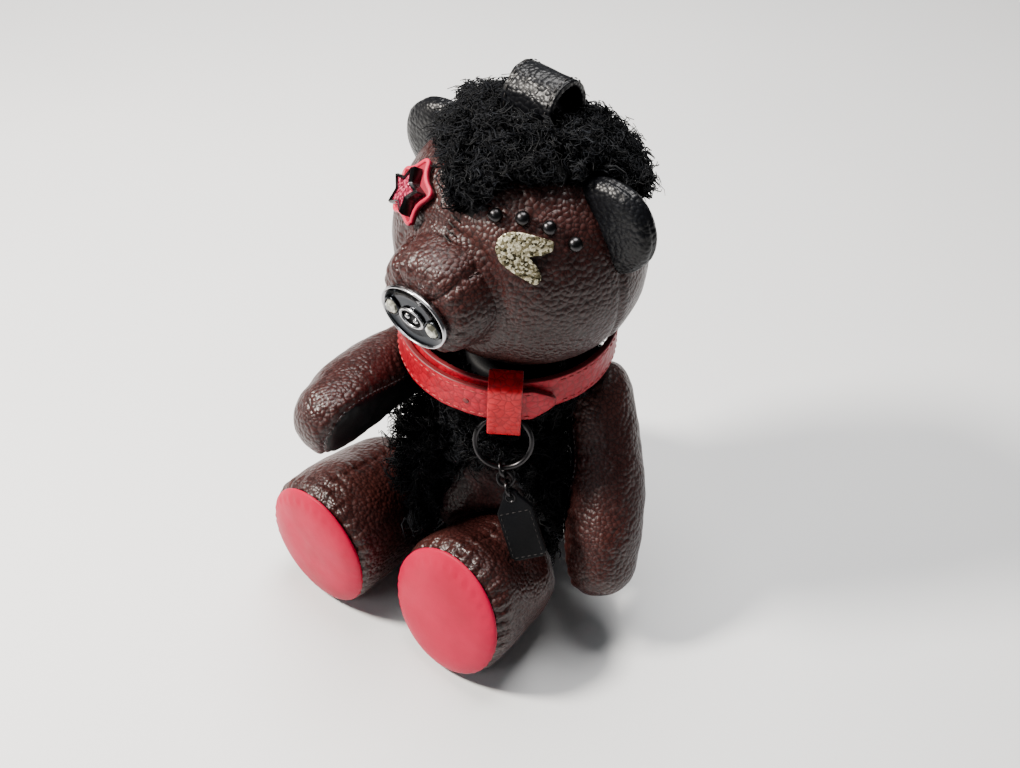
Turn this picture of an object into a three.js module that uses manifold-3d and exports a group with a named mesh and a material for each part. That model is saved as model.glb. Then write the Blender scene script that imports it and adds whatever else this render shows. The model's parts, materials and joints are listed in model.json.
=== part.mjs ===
// Seated leather bear charm, about 106 mm tall, in millimetres, +Z up, facing -Y.
// The origin is the centre of the flat seat under the torso. Each limb and the head is a leather
// skin round a filling, held to the torso by a disc joint: one disc inside each skin and a pin
// through both. The head faces -Y, and the upper torso, arms and collar are turned a little to +X.
import * as THREE from 'three';
import { mergeVertices } from 'three/addons/utils/BufferGeometryUtils.js';
import Module from 'manifold-3d';

const wasm = await Module();
wasm.setup();

// ---- driving dimensions ----------------------------------------------------------------------
const GAP = 0.3;                 // between pieces that touch on the real object
const SKIN = 1.1;                // leather thickness
const FILL_GAP = 0.9;            // from the skin's inside to the filling
const WORLD_UP = new THREE.Vector3(0, 0, 1);
const DEG = Math.PI / 180;

const HEAD = { centre: [0, 1, 75], radii: [23.6, 21.5, 23.5], chin: 0.25 };
const EAR = { left: [18.4, 1, 87.6], right: [-17.4, 1, 87.0], lean: 35, along: 8.8, out: 9.0, thick: 3.6 };
const SNOUT = { z: 75.4, radius: 10.8, front: -25.0 };
const PLATE = { z: SNOUT.z - 0.6, width: 14.2, height: 10.8, thick: 1.0, crystalX: 4.5, crystalR: 1.45 };
const STUD_R = 1.2;

const TORSO_TURN = 18;           // degrees from the head's facing, towards +X
const NECK_Z = 51.6;             // plane between head and torso
const SHOULDER = { at: [11.3, -0.4, 40.4], back: 15, up: 12 };
const ARM = { radius: 7.8, length: 31, offset: 6.1, bow: 1.4, left: 40, right: 104 };
const LEG = {
  radius: 12.9, footHalf: 14.4, left: { sole: -38.4, lean: 12 }, right: { sole: -41.4, lean: 3 },
};
const HIP = { x: 14.7, y: -12.6, z: LEG.radius + 0.5 };

const COLLAR = { y: -0.4, radius: 18.6, height: 7, thick: 1.1, z: 56.7, turn: 37, buckle: -68 };
const KEEPER = { width: 6, wall: 0.9, top: 61.4, bottom: 48.6 };
const RING = { radius: 5.1, wire: 0.5, swing: 22 };
const TAG = { width: 6.8, length: 12.4, thick: 1.1, rim: 1.5, eye: 0.8 };
const middleRadius = COLLAR.radius + (COLLAR.thick + GAP) / 2;
const LOOP = { width: 10.5, thick: 1.2, y: 5.5, radius: 3.6, spring: 101.4, clear: 99.6 };

// ---- materials -------------------------------------------------------------------------------
const finish = (color, roughness, metalness = 0) =>
  new THREE.MeshStandardMaterial({ color, roughness, metalness });
const brownLeather = finish('#3d1d1c', 0.45);
const blackLeather = finish('#121316', 0.4);
const soleLeather = finish('#dd4b5d', 0.5);
const collarLeather = finish('#cf2f3d', 0.45);
const shearling = finish('#0b0c0e', 0.95);
const filling = finish('#e8e4dc', 0.95);
const fibreboard = finish('#8a6a48', 0.8);
const steel = finish('#c8c8cc', 0.25, 1);
const gunmetal = finish('#3a3c42', 0.3, 1);
const crystal = finish('#dfe6ea', 0.08);
const pinkLeather = finish('#d23a63', 0.45);
const pinkGlitter = finish('#c72f52', 0.5, 0.4);
const goldGlitter = finish('#a89d68', 0.5, 0.6);

// ---- solids ----------------------------------------------------------------------------------
// A closed geometry becomes a manifold solid once its shared vertices are merged.
function solidOf(geometry) {
  const bare = geometry.clone();
  bare.deleteAttribute('normal');
  bare.deleteAttribute('uv');
  const merged = mergeVertices(bare, 1e-4);
  const index = merged.index.array;
  const triangles = [];
  for (let i = 0; i < index.length; i += 3) {
    const [a, b, c] = [index[i], index[i + 1], index[i + 2]];
    if (a !== b && b !== c && c !== a) triangles.push(a, b, c);
  }
  const vertProperties = new Float32Array(merged.attributes.position.array);
  const triVerts = new Uint32Array(triangles);
  return new wasm.Manifold(new wasm.Mesh({ numProp: 3, vertProperties, triVerts }));
}

function geometryOf(solid) {
  const mesh = solid.getMesh();
  const geometry = new THREE.BufferGeometry();
  geometry.setAttribute('position', new THREE.BufferAttribute(mesh.vertProperties, 3));
  geometry.setIndex(new THREE.BufferAttribute(mesh.triVerts, 1));
  geometry.computeVertexNormals();
  return geometry;
}

// Closed round form about the Y axis: its [radius, height] points are joined by a smooth curve.
function roundForm(points, steps, segments) {
  const curve = new THREE.SplineCurve(points.map(([r, h]) => new THREE.Vector2(r, h)));
  const profile = curve.getPoints(steps).map((p) => new THREE.Vector2(Math.max(p.x, 0), p.y));
  profile[0].x = 0;
  profile[steps].x = 0;
  return new THREE.LatheGeometry(profile, segments);
}

// Straight-sided form about the Y axis, from the exact [radius, height] points given.
const turned = (points, segments = 20) =>
  new THREE.LatheGeometry(points.map(([r, h]) => new THREE.Vector2(r, h)), segments);

function cylinderBetween(radius, low, high, segments = 20) {
  return turned([[0, low], [radius, low], [radius, high], [0, high]], segments);
}

function eachVertex(geometry, move) {
  const position = geometry.attributes.position;
  const v = new THREE.Vector3();
  for (let i = 0; i < position.count; i += 1) {
    v.fromBufferAttribute(position, i);
    move(v);
    position.setXYZ(i, v.x, v.y, v.z);
  }
  return geometry;
}

// Places a form made about +Y so that +Y points along axis at origin.
function alongAxis(origin, axis) {
  const madeAlong = new THREE.Vector3(0, 1, 0);
  const turn = new THREE.Quaternion().setFromUnitVectors(madeAlong, axis.clone().normalize());
  return new THREE.Matrix4().compose(origin, turn, new THREE.Vector3(1, 1, 1));
}

const moved = (geometry, matrix) => geometry.clone().applyMatrix4(matrix);
const lathedUp = (geometry) => geometry.rotateX(Math.PI / 2);
const torsoTurn = new THREE.Matrix4().makeRotationZ(TORSO_TURN * DEG);
const collarTurn = new THREE.Matrix4().makeTranslation(0, COLLAR.y, 0)
  .multiply(new THREE.Matrix4().makeRotationZ(COLLAR.turn * DEG));

const bear = new THREE.Group();
function piece(name, shape, material) {
  const geometry = shape.isBufferGeometry ? shape : geometryOf(shape);
  const mesh = new THREE.Mesh(geometry, material);
  mesh.name = name;
  bear.add(mesh);
}

// ---- disc joints -----------------------------------------------------------------------------
// Along the joint's axis, 0 is the plane between the two skins and + points into the limb.
const DISC = { radius: 4.0, hole: 1.0, near: SKIN + 0.5, thick: 1.0 };
const PIN = { radius: 0.6, head: 1.9, seat: SKIN + 0.5 + 1.0 + 0.3, headThick: 0.6 };

function discRing(side) {
  const [a, b] = [DISC.near * side, (DISC.near + DISC.thick) * side].sort((p, q) => p - q);
  return turned([[DISC.hole, a], [DISC.radius, a], [DISC.radius, b], [DISC.hole, b], [DISC.hole, a]], 10);
}

function jointPin() {
  const end = PIN.seat + PIN.headThick;
  return turned([[0, -end], [PIN.head, -end], [PIN.head, -PIN.seat], [PIN.radius, -PIN.seat],
    [PIN.radius, PIN.seat], [PIN.head, PIN.seat], [PIN.head, end], [0, end]], 8);
}

function discJoint(name, matrix) {
  piece(`${name}_body_disc`, moved(discRing(-1), matrix), fibreboard);
  piece(`${name}_limb_disc`, moved(discRing(1), matrix), fibreboard);
  piece(`${name}_pin`, moved(jointPin(), matrix), steel);
}

const pinHole = (matrix) => solidOf(moved(cylinderBetween(1.2, -3, 3, 12), matrix));
const hardwareRoom = (matrix) => solidOf(moved(cylinderBetween(5.4, -5, 5, 16), matrix));

function sideVector(side, [x, y, z]) {
  return new THREE.Vector3(side * x, y, z);
}

function shoulderFrame(side) {
  const axis = sideVector(side, [Math.cos(SHOULDER.up * DEG) * Math.cos(SHOULDER.back * DEG),
    Math.cos(SHOULDER.up * DEG) * Math.sin(SHOULDER.back * DEG), Math.sin(SHOULDER.up * DEG)]);
  const up = WORLD_UP.clone().addScaledVector(axis, -axis.z).normalize();
  const across = new THREE.Vector3().crossVectors(up, axis);
  const basis = new THREE.Matrix4().makeBasis(across, up, axis);
  basis.setPosition(sideVector(side, SHOULDER.at));
  return new THREE.Matrix4().multiplyMatrices(torsoTurn, basis);
}

const yToZ = new THREE.Matrix4().makeRotationX(Math.PI / 2);
const shoulderAxis = (side) => new THREE.Matrix4().multiplyMatrices(shoulderFrame(side), yToZ);
const forward = new THREE.Vector3(0, -1, 0);
const hipAxis = (side) => alongAxis(new THREE.Vector3(side * HIP.x, HIP.y, HIP.z), forward);
const neckAxis = alongAxis(new THREE.Vector3(0, 0, NECK_Z), WORLD_UP);
const SIDES = [['left', 1], ['right', -1]];

// ---- torso -----------------------------------------------------------------------------------
// Pear-shaped, deeper than it is wide at the chest, with flats where the limbs meet it.
function torsoForm(inset, steps = 11, segments = 18) {
  const r = (v) => v - inset;
  const top = NECK_Z - 0.2 - inset;
  const form = roundForm([[0, inset], [r(8.5), inset], [r(13.6), 5], [r(16.6), 12], [r(17.4), 20],
    [r(16.4), 28], [r(13.6), 36], [r(10.6), 43], [r(9.2), 48.4], [r(8.2), top], [0, top]], steps, segments);
  eachVertex(form, (v) => {
    if (v.y < inset + 0.9) v.y = inset;
    if (v.y > top - 0.6) v.y = top;
    const chest = Math.sin(Math.PI * THREE.MathUtils.clamp((v.y - 4) / 50, 0, 1));
    v.z = v.z * (1 + 0.24 * chest) + 1.2 * chest;
  });
  return lathedUp(form).applyMatrix4(torsoTurn);
}

// Everything outside the plane that an arm turns against, pushed out by room.
function armSide(side, room, reach) {
  const space = new THREE.BoxGeometry(90, 2 * reach, 40).translate(0, 0, 20 + room);
  return solidOf(moved(space, shoulderFrame(side)));
}

function withBosses(form, inset) {
  const end = -0.2 - inset;
  let solid = solidOf(form);
  for (const [, side] of SIDES) {
    solid = solid.add(solidOf(moved(cylinderBetween(5.8 - inset, -6, end, 12), shoulderAxis(side))));
    solid = solid.add(solidOf(moved(cylinderBetween(6.4 - inset, -9, end, 12), hipAxis(side))));
    solid = solid.subtract(armSide(side, end, 23));
    solid = solid.subtract(onLeg(legForm(-0.5 - inset, LEG.left.sole, 0, 10, 18), side));
  }
  return solid;
}

const jointAxes = [neckAxis, ...SIDES.flatMap(([, side]) => [shoulderAxis(side), hipAxis(side)])];

function torso() {
  let skin = withBosses(torsoForm(0), 0).subtract(withBosses(torsoForm(SKIN), SKIN));
  let fill = withBosses(torsoForm(SKIN + FILL_GAP, 8, 12), SKIN + FILL_GAP);
  for (const axis of jointAxes) {
    skin = skin.subtract(pinHole(axis));
    fill = fill.subtract(hardwareRoom(axis));
  }
  piece('torso_skin', skin, brownLeather);
  piece('torso_filling', fill, filling);
}

// ---- shearling over the chest and back ---------------------------------------------------------
// A deep pile that leaves an oval of leather bare over the belly and room for the limbs.
const PILE = 4.4;                // depth of the curls
const FUR_GAP = 0.6;             // from the skin to the pile's backing
function chestShearling() {
  let fur = solidOf(torsoForm(-PILE)).subtract(withBosses(torsoForm(-FUR_GAP), -FUR_GAP));
  const band = new THREE.BoxGeometry(80, 80, 38).translate(0, 0, 29);
  fur = fur.intersect(solidOf(band));
  const belly = new THREE.SphereGeometry(1, 14, 9).scale(10, 14, 26).translate(3.5, -24, 14);
  fur = fur.subtract(solidOf(belly.applyMatrix4(torsoTurn)));
  for (const [, side] of SIDES) {
    fur = fur.subtract(armSide(side, -0.2, 30));
    const leg = cylinderBetween(LEG.radius + 1.6, 0, 40, 20);
    fur = fur.subtract(solidOf(moved(leg, hipAxis(side))));
  }
  const parts = fur.decompose();
  parts.sort((a, b) => b.volume() - a.volume());
  piece('chest_shearling', parts[0], shearling);
}

// ---- head ------------------------------------------------------------------------------------
function headForm(inset, rows = 12, segments = 20) {
  const [rx, ry, rz] = HEAD.radii.map((r) => r - inset);
  const ball = new THREE.SphereGeometry(1, segments, rows).rotateX(Math.PI / 2);
  eachVertex(ball, (v) => {
    const chin = 1 - HEAD.chin * Math.max(0, -0.45 - v.z);
    v.set(v.x * rx * chin, v.y * ry * chin, v.z * rz);
  });
  return solidOf(ball.translate(...HEAD.centre));
}

function aboveBottom(inset) {
  const bottom = NECK_Z + 0.2 + inset;
  return solidOf(new THREE.BoxGeometry(90, 90, 90).translate(0, 0, bottom + 45));
}

// The chin is drawn in to a flat neck, so the collar and the neck disc have room.
function neckPlug(inset) {
  return solidOf(moved(cylinderBetween(8.4 - inset, 0.2 + inset, 8, 20), neckAxis));
}

function head() {
  const outer = headForm(0).intersect(aboveBottom(0)).add(neckPlug(0));
  const inner = headForm(SKIN).intersect(aboveBottom(SKIN)).add(neckPlug(SKIN));
  piece('head_skin', outer.subtract(inner).subtract(pinHole(neckAxis)), brownLeather);
  const inset = SKIN + FILL_GAP;
  const fill = headForm(inset, 8, 12).intersect(aboveBottom(inset)).subtract(hardwareRoom(neckAxis));
  piece('head_filling', fill, filling);
}

// A point on the head's surface, by degrees round from -Y towards +X and up from the equator.
function onHead(azimuth, elevation, lift = 0) {
  const [a, e] = [azimuth * DEG, elevation * DEG];
  const unit = new THREE.Vector3(Math.sin(a) * Math.cos(e), -Math.cos(a) * Math.cos(e), Math.sin(e));
  const radii = new THREE.Vector3(...HEAD.radii);
  const normal = unit.clone().divide(radii).normalize();
  const point = unit.clone().multiply(radii).add(new THREE.Vector3(...HEAD.centre));
  return { point: point.addScaledVector(normal, lift), normal };
}

// Frame on the head's surface: +Z out of the surface, +Y up along it.
function headFrame(azimuth, elevation, lift = 0) {
  const { point, normal } = onHead(azimuth, elevation, lift);
  const up = WORLD_UP.clone().addScaledVector(normal, -normal.z).normalize();
  const across = new THREE.Vector3().crossVectors(up, normal);
  return new THREE.Matrix4().makeBasis(across, up, normal).setPosition(point);
}

function earForm(name, side, grow = 0) {
  const form = new THREE.SphereGeometry(1, 14, 9);
  form.scale(EAR.out + grow, EAR.thick + grow, EAR.along + grow);
  return solidOf(form.rotateY(-side * EAR.lean * DEG).translate(...EAR[name]));
}

function ears() {
  for (const [name, side] of SIDES) {
    piece(`ear_${name}`, earForm(name, side).subtract(headForm(-0.35)), blackLeather);
  }
}

function snout() {
  const { front, radius } = SNOUT;
  const form = roundForm([[0, front], [6.4, front], [9.2, front + 1.5], [10.3, front + 4.6],
    [radius, front + 9], [radius, front + 14], [0, front + 14]], 8, 18);
  eachVertex(form, (v) => {
    if (v.y < front + 0.35) v.y = front;
    v.z = v.z * 0.95 + SNOUT.z + 0.08 * (v.y - front);
  });
  piece('snout', solidOf(form).subtract(headForm(-0.35)), brownLeather);
}

// ---- nose ------------------------------------------------------------------------------------
function ovalShape(width, height) {
  const shape = new THREE.Shape();
  shape.absellipse(0, 0, width / 2, height / 2, 0, Math.PI * 2);
  return shape;
}

function nose() {
  const plateShape = ovalShape(PLATE.width, PLATE.height);
  for (const side of [-1, 1]) {
    const hole = new THREE.Path();
    hole.absarc(side * PLATE.crystalX, 0, PLATE.crystalR + GAP, 0, Math.PI * 2, true);
    plateShape.holes.push(hole);
  }
  const onSnout = SNOUT.front - GAP;
  const outOfFace = new THREE.Matrix4().makeRotationX(Math.PI / 2).setPosition(0, onSnout, PLATE.z);
  const flat = (shape, depth, steps) =>
    new THREE.ExtrudeGeometry(shape, { depth, bevelEnabled: false, curveSegments: steps });
  piece('nose_plate', moved(flat(plateShape, PLATE.thick, 8), outOfFace), steel);
  for (const [name, side] of SIDES) {
    const gem = turned([[0, 0], [PLATE.crystalR, 0], [PLATE.crystalR, 1.1], [0.8, 1.8], [0, 1.8]], 8);
    const seat = new THREE.Matrix4().makeRotationX(Math.PI);
    seat.setPosition(side * PLATE.crystalX, onSnout, PLATE.z);
    piece(`nose_crystal_${name}`, moved(gem, seat), crystal);
  }
  const eyelet = ovalShape(5.4, 3.6);
  const inside = new THREE.Path();
  inside.absellipse(0, 0, 1.7, 0.9, 0, Math.PI * 2, true);
  eyelet.holes.push(inside);
  const onPlate = outOfFace.clone().setPosition(0, onSnout - GAP - PLATE.thick, PLATE.z);
  piece('nose_eyelet', moved(flat(eyelet, 0.6, 5), onPlate), steel);
}

// ---- eyes and brow ---------------------------------------------------------------------------
function starShape(points, outer, inner) {
  const shape = new THREE.Shape();
  for (let i = 0; i < points * 2; i += 1) {
    const r = i % 2 === 0 ? outer : inner;
    const a = (Math.PI * i) / points + Math.PI / 2;
    if (i === 0) shape.moveTo(r * Math.cos(a), r * Math.sin(a));
    else shape.lineTo(r * Math.cos(a), r * Math.sin(a));
  }
  return shape;
}

function slab(shape, depth, low) {
  const flat = new THREE.ExtrudeGeometry(shape, { depth, bevelEnabled: false, curveSegments: 4 });
  return flat.translate(0, 0, low);
}

// A flat shape becomes a patch that follows the head's curve, from low to high above the skin.
function patchOnHead(shape, reach, low, high, frame) {
  const block = solidOf(moved(slab(shape, 2 * reach, -reach), frame));
  return block.intersect(headForm(-high)).subtract(headForm(-low));
}

const STAR_EYE = { azimuth: -36, elevation: 32.5, tilt: 12 };
function starEye() {
  const { azimuth, elevation, tilt } = STAR_EYE;
  const spin = new THREE.Matrix4().makeRotationZ(tilt * DEG);
  const frame = headFrame(azimuth, elevation).multiply(spin);
  piece('star_patch', patchOnHead(starShape(5, 6.6, 4.4), 6, 0.35, 1.0, frame), pinkLeather);
  const stud = headFrame(azimuth + 1, elevation, 1.35).multiply(spin);
  const walls = starShape(5, 4.9, 2.5);
  walls.holes.push(starShape(5, 3.9, 1.9));
  piece('star_stud', moved(slab(walls, 1.9, 0), stud), gunmetal);
  piece('star_inlay', moved(slab(starShape(5, 3.4, 1.55), 1.4, 0), stud), pinkGlitter);
}

const WINK = { azimuth: 38, elevation: 31 };
function winkEye() {
  const shape = new THREE.Shape();
  shape.moveTo(-4.6, 0.6);
  shape.quadraticCurveTo(-3.4, 3.6, 0.4, 3.5);
  shape.lineTo(4.5, 2.5);
  shape.lineTo(4.0, 1.0);
  shape.quadraticCurveTo(0.6, 1.4, 0.0, -0.2);
  shape.lineTo(3.2, -2.5);
  shape.lineTo(2.5, -3.8);
  shape.lineTo(-1.4, -2.8);
  shape.quadraticCurveTo(-4.2, -2.2, -4.6, 0.6);
  const frame = headFrame(WINK.azimuth, WINK.elevation);
  piece('wink_patch', patchOnHead(shape, 6, 0.35, 1.15, frame), goldGlitter);
}

const BROW = [[22, 44.5], [37, 45], [51, 41.5], [63, 34]];
function browStuds() {
  BROW.forEach(([azimuth, elevation], i) => {
    const dome = turned([[0, 0], [STUD_R, 0], [STUD_R, 0.4], [STUD_R * 0.72, 1.1], [0, 1.4]], 8);
    dome.rotateX(Math.PI / 2);
    piece(`brow_stud_${i + 1}`, moved(dome, headFrame(azimuth, elevation, 0.35)), gunmetal);
  });
}

// ---- hair and hang loop ------------------------------------------------------------------------
const HAIR = { depth: 4.0, edge: 53, tilt: 14 };
function hair() {
  const [low, high] = [1 + 0.6 / 23, 1 + HAIR.depth / 23];
  const arc = (scale, from, to, steps) => Array.from({ length: steps + 1 }, (_, i) => {
    const a = (from + ((to - from) * i) / steps) * DEG;
    return [scale * Math.sin(a), scale * Math.cos(a)];
  });
  const profile = [...arc(low, 0, HAIR.edge, 5), ...arc(high, HAIR.edge, 0, 6)];
  const cap = new THREE.LatheGeometry(profile.map(([r, h]) => new THREE.Vector2(Math.max(r, 0), h)), 20);
  cap.rotateX(Math.PI / 2).rotateX(-HAIR.tilt * DEG);
  cap.scale(...HEAD.radii).translate(...HEAD.centre);
  let fur = solidOf(cap);
  for (const [name, side] of SIDES) fur = fur.subtract(earForm(name, side, 0.4));
  const across = 2 * (LOOP.radius + LOOP.thick) + 0.8;
  const legs = new THREE.BoxGeometry(LOOP.width + 0.8, across, 30).translate(0, LOOP.y, 100);
  const parting = new THREE.BoxGeometry(30, 2 * LOOP.radius, 30).translate(0, LOOP.y, LOOP.clear + 15);
  piece('hair', fur.subtract(solidOf(legs)).subtract(solidOf(parting)), shearling);
}

// Two straight legs joined by a half circle; the legs' ends stop just above the head's skin.
function hangLoop() {
  const outer = LOOP.radius + LOOP.thick;
  const arch = new THREE.Shape();
  const foot = 90;
  arch.moveTo(-outer, foot);
  arch.lineTo(-LOOP.radius, foot);
  arch.lineTo(-LOOP.radius, LOOP.spring);
  arch.absarc(0, LOOP.spring, LOOP.radius, Math.PI, 0, true);
  arch.lineTo(LOOP.radius, foot);
  arch.lineTo(outer, foot);
  arch.lineTo(outer, LOOP.spring);
  arch.absarc(0, LOOP.spring, outer, 0, Math.PI, false);
  arch.lineTo(-outer, foot);
  const options = { depth: LOOP.width, bevelEnabled: false, curveSegments: 8 };
  const strap = new THREE.ExtrudeGeometry(arch, options).translate(0, 0, -LOOP.width / 2);
  strap.rotateX(Math.PI / 2).rotateZ(Math.PI / 2).translate(0, LOOP.y, 0);
  piece('hang_loop', solidOf(strap).subtract(headForm(-0.35)), blackLeather);
}

// ---- arms ------------------------------------------------------------------------------------
// Made hanging down the local -Y, with the joint's axis on local +Z and a flat inner side.
function armForm(inset, steps, segments) {
  const R = ARM.radius - inset;
  const end = -(ARM.length + ARM.radius - inset);
  const form = roundForm([[0, end], [R * 0.5, end + 1.6], [R * 0.92, -ARM.length * 1.08],
    [R * 1.02, -ARM.length * 0.8], [R * 0.98, -ARM.length * 0.35], [R * 0.97, R * 0.2], [R * 0.62, R * 0.8],
    [0, R]], steps, segments);
  eachVertex(form, (v) => {
    const along = THREE.MathUtils.clamp(-v.y / ARM.length, 0, 1);
    v.z += ARM.offset + ARM.bow * Math.sin(Math.PI * along);
  });
  const flat = 0.2 + inset;
  const half = new THREE.BoxGeometry(90, 120, 40).translate(0, 0, flat + 20);
  return solidOf(form).intersect(solidOf(half));
}

const roomAtJoint = (radius) => solidOf(lathedUp(cylinderBetween(radius, -5, 5, 16)));

function arms() {
  for (const [name, side] of SIDES) {
    const rest = side > 0 ? -ARM.left : ARM.right;
    const frame = shoulderFrame(side).multiply(new THREE.Matrix4().makeRotationZ(rest * DEG));
    const skin = armForm(0, 9, 14).subtract(armForm(SKIN, 8, 12)).subtract(roomAtJoint(1.2));
    const fill = armForm(SKIN + FILL_GAP, 7, 8).subtract(roomAtJoint(5.4));
    piece(`arm_skin_${name}`, moved(geometryOf(skin), frame), brownLeather);
    piece(`arm_filling_${name}`, moved(geometryOf(fill), frame), filling);
  }
}

// ---- legs ------------------------------------------------------------------------------------
// About the leg's own axis along Y, from the flat at the hip to the open end that the sole fills.
function legForm(inset, front, lean, steps, segments) {
  const back = HIP.y - 0.2 - inset;
  const R = LEG.radius - inset;
  const form = roundForm([[0, front], [R - 0.7, front], [R + 0.1, front + 2.2], [R + 0.2, -28], [R, -21],
    [R * 0.82, -15.6], [6.2 - inset * 0.5, back], [0, back]], steps, segments);
  eachVertex(form, (v) => {
    if (v.y > back - 0.5) v.y = back;
    if (v.y < front + 0.5) v.y = front;
    const foot = THREE.MathUtils.smoothstep(-v.y, 20, 36);
    v.z *= 1 + foot * (LEG.footHalf / LEG.radius - 1);
    v.y += foot * Math.tan(lean * DEG) * (v.z + LEG.footHalf);
    v.z += HIP.z + foot * (LEG.footHalf - LEG.radius);
  });
  return form;
}

function onLeg(geometry, side) {
  return solidOf(geometry.translate(side * HIP.x, 0, 0));
}

function legs() {
  for (const [name, side] of SIDES) {
    const { sole, lean } = LEG[name];
    const open = onLeg(legForm(SKIN, sole - 2, lean, 9, 14), side);
    const whole = onLeg(legForm(0, sole, lean, 10, 18), side);
    const skin = whole.subtract(open).subtract(pinHole(hipAxis(side)));
    piece(`leg_skin_${name}`, skin, brownLeather);
    const fill = onLeg(legForm(SKIN + FILL_GAP, sole + 1.2, lean, 7, 10), side);
    piece(`leg_filling_${name}`, fill.subtract(hardwareRoom(hipAxis(side))), filling);
    piece(`sole_${name}`, solePad(side, sole, lean), soleLeather);
  }
}

// The sole is a shallow dome that closes the front of the foot, just clear of the skin's edge.
function solePad(side, front, lean) {
  const R = LEG.radius - 0.2;
  const tall = LEG.footHalf / LEG.radius;
  const dome = turned([[0, -2.2], [R * 0.7, -1.7], [R, -GAP - 0.6], [R, -GAP], [0, -GAP]], 18);
  eachVertex(dome, (v) => {
    v.z *= tall;
    v.y += Math.tan(lean * DEG) * (v.z + LEG.footHalf);
  });
  return dome.translate(side * HIP.x, front, HIP.z + LEG.footHalf - LEG.radius);
}

// ---- collar ----------------------------------------------------------------------------------
// Bends a straight box, long in X and thin in Y, round the neck. Angle 0 is straight ahead (-Y).
function bentStrap(from, to, radius, thick, height, lift, shape = () => {}) {
  const steps = Math.round((to - from) / 10);
  const strap = new THREE.BoxGeometry(1, thick, height, steps, 1, 2);
  return eachVertex(strap, (v) => {
    shape(v);
    const a = (from + (to - from) * (v.x + 0.5)) * DEG;
    const r = radius - v.y;
    v.set(r * Math.sin(a), -r * Math.cos(a), COLLAR.z + lift + v.z);
  });
}

function collar() {
  const { radius, thick, height, turn, buckle } = COLLAR;
  const start = buckle - turn;
  const band = bentStrap(start + 4, start + 356, radius, thick, height, 0);
  piece('collar_strap', moved(band, collarTurn), collarLeather);
  const outer = radius + thick + GAP;
  const pointed = (v) => {
    const left = (0.5 - v.x) * 10;
    if (left < 1) v.z *= 0.12 + 0.88 * left;
  };
  const tip = bentStrap(start + 13, 25, outer, thick, height, -0.9, pointed);
  piece('collar_tip', moved(tip, collarTurn), collarLeather);
}

function roundedFrame(width, height, corner, wire) {
  const path = (Kind, w, h, r) => {
    const p = new Kind();
    p.moveTo(-w / 2 + r, -h / 2);
    p.lineTo(w / 2 - r, -h / 2);
    p.absarc(w / 2 - r, -h / 2 + r, r, -Math.PI / 2, 0, false);
    p.lineTo(w / 2, h / 2 - r);
    p.absarc(w / 2 - r, h / 2 - r, r, 0, Math.PI / 2, false);
    p.lineTo(-w / 2 + r, h / 2);
    p.absarc(-w / 2 + r, h / 2 - r, r, Math.PI / 2, Math.PI, false);
    p.lineTo(-w / 2, -h / 2 + r);
    p.absarc(-w / 2 + r, -h / 2 + r, r, Math.PI, Math.PI * 1.5, false);
    return p;
  };
  const shape = path(THREE.Shape, width, height, corner);
  shape.holes.push(path(THREE.Path, width - 2 * wire, height - 2 * wire, Math.max(corner - wire, 0.3)));
  return shape;
}

// Frame standing on the collar at an angle from straight ahead: +Z out, +Y up.
function collarFrame(angle, radius, lift = 0) {
  const a = angle * DEG;
  const out = new THREE.Vector3(Math.sin(a), -Math.cos(a), 0);
  const across = new THREE.Vector3().crossVectors(WORLD_UP, out);
  const point = out.clone().multiplyScalar(radius).setZ(COLLAR.z + lift);
  const standing = new THREE.Matrix4().makeBasis(across, WORLD_UP, out).setPosition(point);
  return collarTurn.clone().multiply(standing);
}

const BUCKLE = { width: 7.0, height: 8.2, wire: 0.9, thick: 1.0, lift: -0.4 };
function buckle() {
  const angle = COLLAR.buckle - COLLAR.turn + 3;
  const seat = COLLAR.radius + COLLAR.thick * 1.5 + GAP * 3 + 0.25;
  const frame = roundedFrame(BUCKLE.width, BUCKLE.height, 1.6, BUCKLE.wire);
  const place = collarFrame(angle, seat, BUCKLE.lift);
  piece('buckle_frame', moved(slab(frame, BUCKLE.thick, 0), place), steel);
  const prong = new THREE.BoxGeometry(BUCKLE.width + 0.4, 1.1, 0.8);
  prong.translate(0, 0, BUCKLE.thick + GAP + 0.4);
  piece('buckle_prong', moved(prong, place), steel);
}

// A leather loop round both layers of the collar, with the ring in its lower fold.
function keeper() {
  const { width, wall, top, bottom } = KEEPER;
  const depth = COLLAR.thick * 2 + GAP * 5 + 2 * wall;
  const middle = middleRadius + 0.05;
  const loop = roundedFrame(depth, top - bottom, 1.3, wall);
  const frame = collarFrame(0, middle, (top + bottom) / 2 - COLLAR.z);
  const strap = slab(loop, width, -width / 2).rotateY(Math.PI / 2);
  piece('keeper', moved(strap, frame), collarLeather);
}

// ---- ring, link and tag ------------------------------------------------------------------------
const ringPivot = { radius: middleRadius, z: KEEPER.bottom + KEEPER.wall + 1.95 };

function wireRing(radius, wire, steps = 20) {
  const sides = 6;
  const section = Array.from({ length: sides + 1 }, (_, i) => {
    const a = (-i * 2 * Math.PI) / sides;
    return [radius + wire * Math.cos(a), wire * Math.sin(a)];
  });
  section[sides] = section[0];
  return turned(section.reverse(), steps).rotateX(Math.PI / 2);
}

function ringFrame() {
  const hang = collarFrame(0, ringPivot.radius, ringPivot.z - COLLAR.z);
  const swing = new THREE.Matrix4().makeRotationX(-RING.swing * DEG);
  return hang.multiply(swing);
}

function ring() {
  const hung = wireRing(RING.radius, RING.wire).translate(0, -RING.radius, 0);
  piece('charm_ring', moved(hung, ringFrame()), gunmetal);
}

// A short chain of links hangs from the ring, each turned a quarter from the last, and holds the tag.
const LINK = { radius: 1.45, wire: 0.34, count: 3 };
const TAG_END = new THREE.Vector3(22.6, -21.8, 29.4);

// Distance along the chain from one wire's centre to the next one that it holds.
const nest = (wire, next) => wire + next + GAP;

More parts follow.
